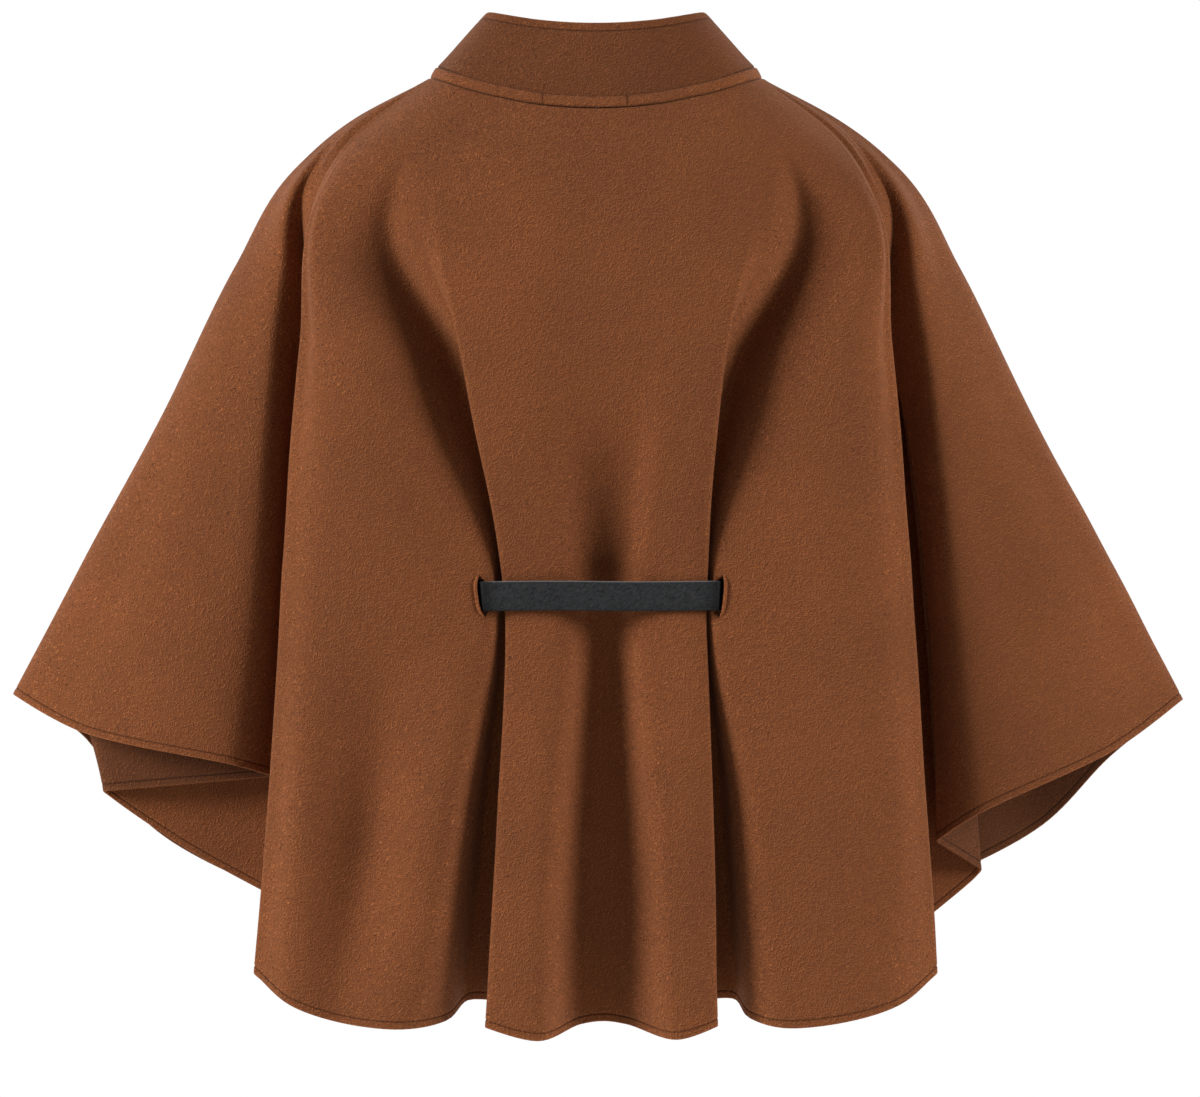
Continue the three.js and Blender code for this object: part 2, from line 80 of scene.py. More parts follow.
# Each row is one line of the cloth: its name, its angle round the neck, the hem's height and a fold's
# turning radius. Then its distance out from the centre and its place front to back at five levels.
CENTRE = [
    ("centre back", 90, -703, 0, (-9, 117), (-9, 117), (-7, 74), (-6, 80), (-6, 86)),
]
LEFT_BACK = [
    ("valley side", 81, -705, 0, (22, 117), (15, 119), (2, 78), (6, 82), (11, 88)),
    ("centre ridge", 68, -713, 0, (62, 117), (51, 127), (24, 98.6), (36, 124), (43, 129)),
    ("pleat edge", 52, -704, 3, (116, 107), (97, 121), (68, 99), (71, 118), (80, 120)),
    ("pleat back", 49, -690, 3, (131, 98), (88, 102), (44, 90.5), (45, 98), (49, 98)),
    ("pleat floor", 45, -689, 0, (154, 83), (105, 83), (69, 86), (80, 70), (96, 71)),
    ("panel roll", 41, -701, 0, (171, 86), (127, 98), (76, 100.5), (93, 100), (112, 102)),
    ("slit side", 36, -705, 0, (184, 86), (150, 113), (95, 105), (118, 121), (143, 124)),
    ("side panel", 28, -701, 0, (196, 81), (177, 117), (153, 112), (169, 102), (192, 108)),
    ("panel bow", 21, -689, 0, (203, 75), (206, 102), (204, 106), (217, 111), (226, 107)),
    ("armhole edge", 16, -668, 6, (207, 67), (220, 80), (231, 86), (241, 87), (254, 80)),
    ("armhole back", 13, -640, 5, (209, 49), (205, 42), (198, 24), (202, 14), (208, 10)),
    ("under layer", 11, -582, 0, (211, 39), (219, 14), (250, 4), (298, -3), (312, -4)),
    ("under fold", 9, -537, 4, (213, 31), (235, 6), (318, 2), (394, 2), (375, 2)),
    ("wing fold", 6.5, -524, 4, (216, 26), (218, 24), (224, 30), (231, 31), (245, 32)),
    ("wing middle", 3.5, -514, 0, (221, 26), (238, 43), (250, 56), (258, 58), (273, 56)),
    ("wing outer", 1.5, -491, 0, (225, 11), (262, 21), (304, 30), (350, 33), (388, 29)),
]
RIGHT_BACK = [
    ("valley side", 81, -705, 0, (38, 117), (32, 119), (17, 78), (19, 82), (22, 88)),
    ("centre ridge", 68, -712, 0, (66, 116), (57, 127), (38, 99.1), (51, 124), (60, 129)),
    ("pleat edge", 52, -703, 3, (113, 107), (93, 121), (81, 99), (86, 118), (89, 120)),
    ("pleat back", 49, -690, 3, (131, 96), (84, 102), (56, 90.5), (59, 98), (61, 98)),
    ("pleat floor", 45, -688, 0, (152, 78), (106, 80), (81, 86), (92, 70), (102, 70)),
    ("panel roll", 41, -699, 0, (170, 84), (127, 99), (88, 100.5), (102, 102), (114, 103)),
    ("slit side", 36, -704, 0, (184, 84), (154, 112), (104, 105), (124, 121), (138, 124)),
    ("side panel", 28, -700, 0, (197, 80), (182, 116), (161, 115), (172, 121), (182, 124)),
    ("panel bow", 21, -689, 0, (204, 74), (208, 102), (208, 106), (219, 108), (224, 105)),
    ("armhole edge", 16, -668, 6, (207, 67), (220, 80), (233, 86), (243, 86), (253, 80)),
    ("armhole back", 13, -674, 5, (209, 49), (205, 42), (198, 24), (202, 14), (208, 10)),
    ("under fold", 9, -597, 4, (212, 34), (233, 6), (257, 1), (281, 1), (294, 3)),
    ("wing fold", 6.5, -573, 5, (216, 26), (222, 24), (236, 30), (247, 31), (259, 32)),
    ("wing middle", 3.5, -550, 0, (222, 26), (243, 44), (261, 56), (274, 58), (289, 56)),
    ("wing outer", 1.5, -505, 0, (226, 11), (264, 21), (309, 30), (356, 33), (391, 29)),
]
LEFT_ARM = [("arm seam", 0, -464, 0, (227, -2), (275, -6), (330, -10), (390, -14), (447, -18))]
RIGHT_ARM = [("arm seam", 0, -468, 0, (229, -2), (277, -6), (334, -10), (393, -14), (450, -18))]
FRONT = [
    ("wing front", -2, -512, 0, (226, -12), (268, -34), (314, -44), (364, -48), (400, -52)),
    ("wing inner", -6, -568, 0, (222, -30), (252, -62), (282, -74), (312, -80), (350, -84)),
    ("front armhole", -12, -608, 0, (215, -52), (228, -74), (242, -82), (256, -84), (276, -86)),
    ("front bow", -22, -636, 0, (201, -84), (207, -112), (208, -118), (210, -120), (216, -124)),
    ("front dip", -38, -658, 0, (160, -108), (152, -130), (150, -124), (152, -122), (156, -122)),
    ("front ridge", -60, -672, 0, (96, -126), (86, -146), (84, -146), (86, -147), (90, -150)),
    ("front lap", -75, -677, 0, (46, -131), (42, -145), (42, -142), (42, -142), (42, -143.5)),
    ("centre front", -90, -678, 0, (0, -132), (0, -144), (0, -140), (0, -140), (0, -141)),
]
LEFT_WING_LIFT = {"wing front": 17, "front armhole": -3}


def ring_point(ring, angle):
    """A point of a squared ellipse, from the side (0) to the back (90) and the front (-90)."""
    c = math.cos(math.radians(angle))
    s = math.sin(math.radians(angle))
    bend = 2 / ring["power"]
    reach = ring["back"] if s > 0 else -ring["front"]
    return math.copysign(ring["half"] * abs(c) ** bend, c), reach * abs(s) ** bend


def ring_height(ring, angle):
    s = math.sin(math.radians(angle))
    end = ring["back_z"] if s > 0 else ring["front_z"]
    return ring["side_z"] + (end - ring["side_z"]) * s * s


def cloth_line(row, sign):
    """A table row as a line of the cloth, on the left (1) or the right (-1)."""
    name, angle, hem, turn, *levels = row
    plan = [ring_point(NECK, angle), ring_point(YOKE, angle), *levels]
    return dict(
        name=name,
        turn=turn,
        neck_z=ring_height(NECK, angle),
        hem_z=hem,
        plan=np.array([(sign * x, y) for x, y in plan], float),
    )


def beside(line, name, move):
    """A line beside another, moved in plan by an amount for each level."""
    return dict(line, name=name, plan=line["plan"] + np.array(move, float))


def fold_edge(before, line, after):
    """A fold's edge as three lines: one each side of the edge, and the edge itself."""
    reach = np.sign(line["plan"][-1, 0] - (before["plan"][-1, 0] + after["plan"][-1, 0]) / 2)
    across = np.sign(before["plan"][-1, 1] - after["plan"][-1, 1])

    def side(name, neighbour, way):
        move = (neighbour["plan"] - line["plan"]) * FOLD_APART
        move[FIRST_FOLDED:] = (-reach * line["turn"], way * across * line["turn"])
        made = beside(line, f"{line['name']} {name}", move)
        made["neck_z"] += (neighbour["neck_z"] - line["neck_z"]) * FOLD_APART
        width = np.linalg.norm(neighbour["plan"][-1] - line["plan"][-1])
        share = min(FOLD_APART, FOLD_ROUNDED * line["turn"] / width)
        made["hem_z"] += (neighbour["hem_z"] - line["hem_z"]) * share
        return made

    return [side("in", before, 1), line, side("out", after, -1)]


def with_lap(front, outward):
    """The front's lines from its own edge on, stepped in or out where the right front laps the left."""
    centre, lap = front[0], front[1]
    share = LAP_HALF / np.abs(lap["plan"][:, 0])
    move = np.stack(
        [-lap["plan"][:, 0] * share, (lap["plan"][:, 1] - centre["plan"][:, 1]) * share], axis=1
    )
    edge = beside(centre, "front edge", move)
    edge["neck_z"] += (lap["neck_z"] - centre["neck_z"]) * share[0]
    edge["hem_z"] += (lap["hem_z"] - centre["hem_z"]) * share[0]
    stepped = [beside(line, line["name"], (0, -outward * LAP_STEP)) for line in (edge, centre, lap)]
    return stepped + front[2:]


def all_lines():
    """The whole loop, from the left front's edge round the back to the right front's edge."""
    left_front = [cloth_line(row, 1) for row in reversed(FRONT)]
    for line in left_front:
        line["hem_z"] += LEFT_WING_LIFT.get(line["name"], 0)
    right_front = [cloth_line(row, -1) for row in reversed(FRONT)]
    keys = [
        *with_lap(left_front, -1),
        *[cloth_line(row, 1) for row in LEFT_ARM],
        *[cloth_line(row, 1) for row in reversed(LEFT_BACK)],
        *[cloth_line(row, 1) for row in CENTRE],
        *[cloth_line(row, -1) for row in RIGHT_BACK],
        *[cloth_line(row, -1) for row in RIGHT_ARM],
        *reversed(with_lap(right_front, 1)),
    ]
    lines = []
    for i, line in enumerate(keys):
        lines += fold_edge(keys[i - 1], line, keys[i + 1]) if line["turn"] else [line]
    return lines


LINES = all_lines()
NAMES = [line["name"] for line in LINES]
SEAMS = [i for i, name in enumerate(NAMES) if name == "arm seam"]
LAST_LINE = len(LINES) - 1
DROP_SHARES = np.linspace(0, 1, 281)


def through(places, values, at):
    """Smooth curves through values (levels first) at uneven places."""
    places = np.array(places, float)
    slopes = (values[1:] - values[:-1]) / (places[1:] - places[:-1])[:, None, None]
    before = (places[1:-1] - places[:-2])[:, None, None]
    after = (places[2:] - places[1:-1])[:, None, None]
    middle = (after * slopes[:-1] + before * slopes[1:]) / (before + after)
    tangents = np.concatenate([slopes[:1], middle, slopes[-1:]])
    i = np.clip(np.searchsorted(places, at, side="left") - 1, 0, len(places) - 2)
    h = (places[i + 1] - places[i])[:, None, None]
    t = (at - places[i])[:, None, None] / h
    return (
        values[i] * (1 + 2 * t) * (1 - t) ** 2
        + tangents[i] * h * t * (1 - t) ** 2
        + values[i + 1] * t * t * (3 - 2 * t)
        + tangents[i + 1] * h * t * t * (t - 1)
    )


def control_points(shares):
    """Every line's point at each share of the drop, as an array of shares by lines by three."""
    plans = np.stack([line["plan"] for line in LINES], axis=1)
    flat = through(list(LEVELS.values()), plans, shares)
    neck = np.array([line["neck_z"] for line in LINES], float)
    hem = np.array([line["hem_z"] for line in LINES], float)
    z = neck[None, :] + (hem - neck)[None, :] * shares[:, None]
    return np.concatenate([flat, z[..., None]], axis=2)


CONTROL = control_points(DROP_SHARES)


def centripetal(p0, p1, p2, p3, w):
    """A share of the way from p1 to p2, on the centripetal curve through four points."""
    d0, d1, d2 = (
        np.maximum(np.linalg.norm(b - a, axis=-1, keepdims=True) ** 0.5, 1e-4)
        for a, b in ((p0, p1), (p1, p2), (p2, p3))
    )
    t1 = ((p1 - p0) / d0 - (p2 - p0) / (d0 + d1) + (p2 - p1) / d1) * d1
    t2 = ((p2 - p1) / d1 - (p3 - p1) / (d1 + d2) + (p3 - p2) / d2) * d1
    return p1 + w * (t1 + w * ((-3 * p1 + 3 * p2 - 2 * t1 - t2) + w * (2 * p1 - 2 * p2 + t1 + t2)))


def across(places):
    """The cloth's middle at given places along the loop, for every share of the drop."""
    places = np.asarray(places, float)
    i = np.clip(np.floor(places).astype(int), 0, LAST_LINE - 1)
    first = 2 * CONTROL[:, :1] - CONTROL[:, 1:2]
    last = 2 * CONTROL[:, -1:] - CONTROL[:, -2:-1]
    points = np.concatenate([first, CONTROL, last], axis=1)
    return centripetal(*(points[:, i + k] for k in range(4)), (places - i)[None, :, None])


def down(curves, shares):
    """Points at each column's own shares, from that column's dense curve."""
    at = np.clip(shares, 0, 1) * (len(DROP_SHARES) - 1)
    i = np.clip(np.floor(at).astype(int), 0, len(DROP_SHARES) - 2)
    w = (at - i)[..., None]
    column = np.arange(curves.shape[1])[None, :]
    return curves[i, column] * (1 - w) + curves[i + 1, column] * w


def unit(vectors):
    return vectors / np.maximum(np.linalg.norm(vectors, axis=-1, keepdims=True), 1e-9)


def normals_of(grid):
    """Directions outward from a grid of rows by columns of points."""
    along = np.gradient(grid, axis=1)
    drop = np.gradient(grid, axis=0)
    return unit(np.cross(drop, along))


def place_of(name, side):
    """A line's place along the loop, on the left (1) or the right (-1)."""
    middle = NAMES.index("centre back")
    return next(i for i, n in enumerate(NAMES) if n == name and (i < middle) == (side > 0))


# Soft creases laid from one place on the cloth to another: side (1 left, -1 right), start, end,
# width and depth in millimetres. A ridge has a negative depth. The start and the end are each a line's
# name, how far on towards the arm's seam in lines, and the share of the drop.
CREASES = [
    (1, ("slit side", -0.2, 0.5), ("side panel", 0.2, 0.36), 11, 2.0),
    (1, ("slit side", 0.0, 0.56), ("side panel", 0.3, 0.68), 10, 1.8),
    (1, ("slit side", 0.1, 0.53), ("side panel", 0.1, 0.52), 7, 0.9),
    (-1, ("slit side", 0.0, 0.5), ("side panel", 0.1, 0.35), 12, 2.2),
    (-1, ("slit side", 0.1, 0.56), ("side panel", 0.2, 0.66), 9, 1.6),
    (-1, ("slit side", 0.1, 0.54), ("side panel", 0.0, 0.55), 7, 0.8),
    (1, ("side panel", 0.2, 0.56), ("side panel", 0.0, 0.99), 32, 4.5),
    (1, ("panel roll", 0.5, 0.66), ("slit side", -0.3, 0.97), 17, -3.2),
    (-1, ("side panel", 0.6, 0.66), ("side panel", 0.4, 0.96), 22, 2.6),
    (1, ("centre ridge", 0.3, 0.16), ("centre ridge", 0.2, 0.44), 26, 1.6),
    (-1, ("centre ridge", 0.2, 0.2), ("centre ridge", 0.1, 0.47), 22, 1.4),
    (1, ("wing fold", 0.2, 0.36), ("wing fold", 0.3, 0.99), 13, 8),
    (-1, ("wing fold", 0.2, 0.4), ("wing fold", 0.3, 0.99), 13, 6),
    (1, ("wing middle", 0.2, 0.2), ("wing middle", 0.5, 0.8), 24, 2.4),
    (-1, ("wing middle", 0.1, 0.25), ("wing middle", 0.6, 0.86), 26, 2.2),
    (-1, ("wing outer", 0.2, 0.35), ("wing outer", 0.4, 0.92), 18, 1.5),
    (1, ("wing outer", 0.3, 0.5), ("wing outer", 0.2, 0.95), 17, 1.3),
    (1, ("front dip", 0.1, 0.2), ("front dip", 0.2, 0.62), 22, 2.4),
    (-1, ("front dip", 0.0, 0.26), ("front dip", -0.2, 0.7), 24, 2.2),
    (1, ("wing inner", 0.0, 0.3), ("wing inner", 0.3, 0.8), 20, 2.0),
    (-1, ("wing inner", 0.1, 0.34), ("wing inner", -0.1, 0.9), 21, 2.3),
    (1, ("front ridge", 0.1, 0.5), ("front ridge", 0.2, 0.9), 16, 1.4),
    (-1, ("front ridge", 0.3, 0.42), ("front ridge", 0.0, 0.8), 17, 1.5),
]
CREASE_STEPS = 14
CREASE_REACH = 3.2


def crease_depth(grid, places):
    """How far the cloth is pushed in by the creases, for a grid whose columns are at given places."""
    total = np.zeros(grid.shape[:2])
    steps = np.linspace(0, 1, CREASE_STEPS + 1)
    for side, start, end, width, depth in CREASES:
        first, last = (place_of(name, side) - side * on for name, on, _ in (start, end))
        spots = first + (last - first) * steps
        path = down(across(spots), (start[2] + (end[2] - start[2]) * steps)[None, :])[0]
        near = (places > spots.min() - CREASE_REACH) & (places < spots.max() + CREASE_REACH)
        columns = np.flatnonzero(near)
        if not len(columns):
            continue
        part = grid[:, columns]
        best = np.full(part.shape[:2], 1e9)
        along = np.zeros(part.shape[:2])
        for k in range(CREASE_STEPS):
            step = path[k + 1] - path[k]
            t = np.clip(((part - path[k]) @ step) / (step @ step), 0, 1)
            gap = np.linalg.norm(part - path[k] - t[..., None] * step, axis=2)
            nearer = gap < best
            best = np.where(nearer, gap, best)
            along = np.where(nearer, (k + t) / CREASE_STEPS, along)
        taper = np.sin(np.pi * np.clip(along, 0, 1)) ** 0.7
        total[:, columns] += depth * np.exp(-((best / width) ** 2)) * taper
    return total


def soft_waviness(grid):
    """Slight unevenness that real cloth has everywhere, a few tenths of a millimetre to a millimetre."""
    x, y, z = (grid[..., k] for k in range(3))
    slow = np.sin(x / 61 + 0.7 * np.sin(z / 83)) * np.cos(z / 97 + 0.4 * np.sin(y / 45))
    quick = np.sin(x / 23 + z / 41 + 1.3 * np.sin(z / 57)) * np.sin(y / 31 - z / 37)
    return 0.8 * slow + 0.35 * quick


def places_between(first, last, step):
    """Places along the loop from one line to another, no further apart at the hem than a step."""
    hem = CONTROL[-1]
    low = CONTROL[int(0.6 * len(DROP_SHARES))]
    found = []
    for k in range(first, last):
        span = max(np.linalg.norm(hem[k + 1] - hem[k]), np.linalg.norm(low[k + 1] - low[k]))
        count = max(4, math.ceil(span / step))
        found += [k + s / count for s in range(count)]
    return found + [last]


# Distances from an edge at which the wall is shaped, how far past the last of them the even rows start at
# the neck and end at the hem, and how the stitched line sinks in
EDGE_STEPS = [0, 0.15, 0.5, 1.0, 1.7, 3.0, 4.2, 4.8, 5.2, 5.6, 6.0, 6.4, 7.0, 8.6]
SEAM_STEPS = [0, 0.2, 0.6, 1.2, 2.0, 3.2, 4.8]
BODY_START = 3
BODY_END = 5
STITCH_SINK = 0.8
STITCH_SINK_WIDTH = 0.7

# How much lighter or darker the wool is painted: a painted highlight on the rim of a turned edge, painted
# shade in its stitched line and painted shade on its reverse
RIM_PAINTED_HIGHLIGHT = 0.3
RIM_WIDTH = 1.1
STITCH_PAINTED_SHADE = 0.38
STITCH_SHADE_WIDTH = 0.55
REVERSE_PAINTED_SHADE = -0.45


def edge_profile(distance, thickness, turned, band=HEM_BAND, sink=STITCH_SINK, fuller=0.5):
    """Half the wall's thickness at a distance from an edge. A turned edge is fuller, and stitched down."""
    full = thickness / 2 + turned * fuller / (1 + np.exp((distance - band) / 0.3))
    round_off = np.sqrt(np.clip(1 - (1 - np.clip(distance / full, 0, 1)) ** 2, 0.02, 1))
    groove = turned * sink * np.exp(-(((distance - band) / STITCH_SINK_WIDTH) ** 2))
    return full * round_off - groove


def lengths_along(points):
    """Each point's distance along its own line. The lines run along the first axis."""
    steps = np.linalg.norm(np.diff(points, axis=0), axis=-1)
    return np.concatenate([np.zeros_like(steps[:1]), np.cumsum(steps, axis=0)])


def edge_places(edge, toward, steps):
    """Places at given distances from a piece's side edge, measured at the waist."""
    fine = np.linspace(edge, edge + toward * 1.0, 200)
    row = across(fine)[len(DROP_SHARES) // 2]
    return list(np.interp(steps, lengths_along(row), fine))


def cloth_grid(first, last, step, rows):
    """The middle of one piece of the cloth, with each point's distance from its turned edges."""
    places = places_between(first, last, step)
    for edge, toward in ((first, 1), (last, -1)):
        near = edge_places(edge, toward, SEAM_STEPS if edge in SEAMS else EDGE_STEPS)
        reach = abs(near[-1] - edge) + 0.08
        places = [p for p in places if abs(p - edge) > reach] + near
    places = np.array(sorted(places))
    curves = across(places)
    length = lengths_along(curves)
    total = length[-1]
    neck_steps = np.array(SEAM_STEPS)
    hem_steps = np.array(EDGE_STEPS)[::-1]
    body = np.linspace(0, 1, rows) ** 0.97
    top = SEAM_STEPS[-1] + BODY_START
    distances, shares = [], []
    for k in range(len(places)):
        upper = top + body * (total[k] - EDGE_STEPS[-1] - BODY_END - top)
        distances.append(np.concatenate([neck_steps, upper, total[k] - hem_steps]))
        shares.append(np.interp(distances[k], length[:, k], DROP_SHARES))
    distances, shares = np.array(distances).T, np.array(shares).T
    grid = down(curves, shares)
    from_hem = total[None, :] - distances
    from_first = lengths_along(grid.swapaxes(0, 1)).T
    sides = {first: from_first, last: from_first[:, -1:] - from_first}
    return dict(places=places, shares=shares, grid=grid, from_neck=distances, from_hem=from_hem, sides=sides)


def edge_painted_light(distance, turned, band=HEM_BAND):
    """Painted light along a turned edge: a painted highlight on its rolled rim, and painted shade in its
    stitched line.
    """
    rim = RIM_PAINTED_HIGHLIGHT * np.exp(-((distance / RIM_WIDTH) ** 2))
    return turned * (rim - STITCH_PAINTED_SHADE * np.exp(-(((distance - band) / STITCH_SHADE_WIDTH) ** 2)))


def smoothed(obj):
    polygons = obj.data.polygons
    polygons.foreach_set("use_smooth", [True] * len(polygons))
    return obj


def shell(name, grid, half_out, half_in, out, tone=0.0):
    """A closed wall over a grid of middle points, in metres. The cloth's reverse side is darker, with painted
    shade.
    """
    rows, columns = grid.shape[:2]
    outer = grid + out * half_out[..., None]
    inner = grid - out * half_in[..., None]
    points = np.concatenate([outer.reshape(-1, 3), inner.reshape(-1, 3)]) * MM
    n = rows * columns
    index = np.arange(n).reshape(rows, columns)
    a, b, c, d = index[:-1, :-1], index[1:, :-1], index[1:, 1:], index[:-1, 1:]
    front = np.stack([a, b, c, d], axis=-1).reshape(-1, 4)
    back = np.stack([a, d, c, b], axis=-1).reshape(-1, 4) + n
    rims = []
    for line, flip in ((index[0], False), (index[-1], True), (index[:, 0], True), (index[:, -1], False)):
        rim = np.stack([line[:-1], line[1:], line[1:] + n, line[:-1] + n], axis=-1)
        rims.append(rim[:, ::-1] if flip else rim)
    faces = np.concatenate([front, back, *rims])
    mesh = bpy.data.meshes.new(name)
    mesh.from_pydata(points.tolist(), [], faces.tolist())
    mesh.update()
    # The tone attribute carries painted highlights and painted shade, with more painted shade on the reverse
    # side
    tones = np.broadcast_to(tone, (rows, columns)).ravel()
    shade = mesh.attributes.new("tone", "FLOAT", "POINT")
    shade.data.foreach_set("value", np.concatenate([tones, tones + REVERSE_PAINTED_SHADE]))
    obj = bpy.data.objects.new(name, mesh)
    bpy.context.collection.objects.link(obj)
    return smoothed(obj)


# How far apart the columns are at the hem, and how many even rows there are
BACK_STEP = 6.5
FRONT_STEP = 8.0
BACK_ROWS = 96
FRONT_ROWS = 84


def cloth_surface(first, last, step, rows):
    """One piece of the cloth, creased: its middle points, outward directions and half thickness."""
    made = cloth_grid(first, last, step, rows)
    grid = made["grid"]
    out = normals_of(grid)
    push = crease_depth(grid, made["places"]) - soft_waviness(grid) * np.clip(made["shares"] / 0.2, 0, 1)
    edge_calm = np.clip(made["shares"] / 0.05, 0, 1)
    grid = grid - out * (push * edge_calm)[..., None]
    out = normals_of(grid)
    half = edge_profile(made["from_hem"], CLOTH, 1.0)
    half = np.minimum(half, edge_profile(made["from_neck"], CLOTH, 0.0))
    # Painted highlight on the rims and painted shade in the stitched lines of the turned edges
    tone = edge_painted_light(made["from_hem"], 1.0)
    for line, distance in made["sides"].items():
        turned = 0.0 if line in SEAMS else 1.0
        half = np.minimum(half, edge_profile(distance, CLOTH, turned))
        tone = tone + edge_painted_light(distance, turned)
    made.update(grid=grid, out=out, half=half, tone=tone)
    return made


def tuck_seams(made, first, last):
    """Runs a piece a little way past its arm seams, so that no light shows between the sewn edges."""
    grid = made["grid"]
    for line, column, nxt in ((first, 0, 1), (last, -1, -2)):
        if line in SEAMS:
            grid[:, column] -= unit(grid[:, nxt] - grid[:, column]) * SEAM_TUCK
    return made


def cloth_piece(name, first, last, step, rows):
    made = tuck_seams(cloth_surface(first, last, step, rows), first, last)
    obj = shell(name, made["grid"], made["half"], made["half"], made["out"], made["tone"])
    return obj, made


# The belt's slits: upright cuts that lean a little. foot and head: each slit's two ends, out from the
# centre. near and far: how far its edges bow from a straight line between them.
SLIT = dict(top=-371.3, bottom=-402, start=80, end=118, steps=28, blunt=3.2)
SLITS = [
    dict(side=1, foot=82.1, head=86.2, near=-4.6, far=3.2),
    dict(side=-1, foot=91, head=93.8, near=-5, far=2),
]


def slit_edge(slit, way, t):
    """A point of a slit's near or far edge in a view from the back, at a share of its height."""
    straight = slit["foot"] + (slit["head"] - slit["foot"]) * t
    x = straight + slit[way] * (1 - abs(2 * t - 1) ** SLIT["blunt"])
    return slit["side"] * x, SLIT["bottom"] + (SLIT["top"] - SLIT["bottom"]) * t


def slit_cutter(slit):
    """A prism through the back with the slit's outline."""
    steps = SLIT["steps"]
    outline = [slit_edge(slit, "near", k / steps) for k in range(steps)]
    outline += [slit_edge(slit, "far", k / steps) for k in range(steps, 0, -1)]
    count = len(outline)
    points = [(x, y, z) for y in (SLIT["start"], SLIT["end"]) for x, z in outline]
    faces = [tuple(range(count))[::-1], tuple(range(count, 2 * count))]
    faces += [(k, (k + 1) % count, count + (k + 1) % count, count + k) for k in range(count)]
    return joined("slit cutter", [(points, faces)], smooth=False)


def applied(obj, modifier):
    """Makes what a modifier does part of the object's own mesh."""
    bpy.context.view_layer.update()
    evaluated = obj.evaluated_get(bpy.context.evaluated_depsgraph_get())
    made = bpy.data.meshes.new_from_object(evaluated)
    obj.modifiers.remove(modifier)
    obj.data = made
    return obj


def cut(obj, cutter):
    modifier = obj.modifiers.new("cut", "BOOLEAN")
    modifier.operation = "DIFFERENCE"
    modifier.solver = "EXACT"
    modifier.object = cutter
    applied(obj, modifier)
    bpy.data.objects.remove(cutter)


# Materials

WOOL_DARK = (0.082, 0.0222, 0.0055)
WOOL_MAIN = (0.159, 0.0458, 0.0123)
WOOL_LIGHT = (0.330, 0.109, 0.0345)
THREAD = (0.045, 0.0135, 0.0045)
THREAD_LIGHT = (0.11, 0.036, 0.012)
LEATHER_DARK = (0.0095, 0.0098, 0.0105)
LEATHER_LIGHT = (0.034, 0.0352, 0.0368)
# Painted shadow where the belt goes into its slits
LEATHER_SLIT_SHADOW = (0.0006, 0.0006, 0.0007)
# A painted highlight along the belt's upper edge
LEATHER_EDGE_HIGHLIGHT = (0.16, 0.163, 0.168)


class Nodes:
    """A node tree that is being made, with short ways to add what the surfaces need."""

    def __init__(self, tree):
        tree.nodes.clear()
        self.nodes, self.links = tree.nodes, tree.links

    def feed(self, node, inputs):
        """Links or sets a node's inputs, each found by its name or number."""
        for key, value in inputs.items():
            socket = node.inputs[key]
            if isinstance(value, bpy.types.NodeSocket):
                self.links.new(value, socket)
            else:
                socket.default_value = (*value, 1) if socket.type == "RGBA" else value

    def add(self, kind, inputs=None, **settings):
        node = self.nodes.new(kind)
        for name, value in settings.items():
            setattr(node, name, value)
        self.feed(node, inputs or {})
        return node

    def place(self, scale=(1, 1, 1), shift=(0, 0, 0), turn=(0, 0, 0), vector_type="POINT"):
        """Object coordinates, shifted, or stretched so that a pattern runs along an axis."""
        place = self.add("ShaderNodeTexCoord").outputs["Object"]
        inputs = {"Vector": place, "Location": shift, "Rotation": turn, "Scale": scale}
        return self.add("ShaderNodeMapping", inputs, vector_type=vector_type).outputs["Vector"]

    def noise(self, vector, scale, detail, roughness, distortion):
        inputs = {"Vector": vector, "Scale": scale, "Detail": detail}
        inputs |= {"Roughness": roughness, "Distortion": distortion}
        return self.add("ShaderNodeTexNoise", inputs).outputs["Fac"]

    def attribute(self, name):
        return self.add("ShaderNodeAttribute", attribute_name=name).outputs["Fac"]

    def maths(self, operation, a, b=0.0):
        return self.add("ShaderNodeMath", {0: a, 1: b}, operation=operation).outputs[0]

    def weighted(self, first, *more):
        """The sum of some values, each times its weight."""
        total = self.maths("MULTIPLY", *first)
        for part in more:
            total = self.maths("ADD", total, self.maths("MULTIPLY", *part))
        return total

    def mix(self, factor, a, b, blend="MIX"):
        inputs = {0: factor, 6: a, 7: b}
        return self.add("ShaderNodeMix", inputs, data_type="RGBA", blend_type=blend).outputs[2]

    def ramp(self, value, stops):
        node = self.add("ShaderNodeValToRGB", {"Fac": value})
        elements = node.color_ramp.elements
        while len(elements) < len(stops):
            elements.new(0.5)
        for element, (place, colour) in zip(elements, stops):
            element.position = place
            element.color = (*colour, 1)
        return node.outputs["Color"]

    def greys(self, value, low, high):
        return self.ramp(value, [(0.3, (low,) * 3), (0.7, (high,) * 3)])

    def bump(self, height, strength, distance, under=None):
        inputs = {"Height": height, "Strength": strength, "Distance": distance}
        if under is not None:
            inputs["Normal"] = under
        return self.add("ShaderNodeBump", inputs).outputs["Normal"]


def surface(name):
    """A new material, its nodes and the shader that they feed."""
    material = bpy.data.materials.new(name)
    material.use_nodes = True
    made = Nodes(material.node_tree)
    shader = made.add("ShaderNodeBsdfPrincipled")
    made.add("ShaderNodeOutputMaterial", {"Surface": shader.outputs["BSDF"]})
    return material, made, shader


# The wool's curls: how wide a line is in the noise, lines in a metre, and how far its shadow lies beside it
CURL_HALF = 0.075
CURL_SCALE = 360
CURL_SHADOW = 0.0004


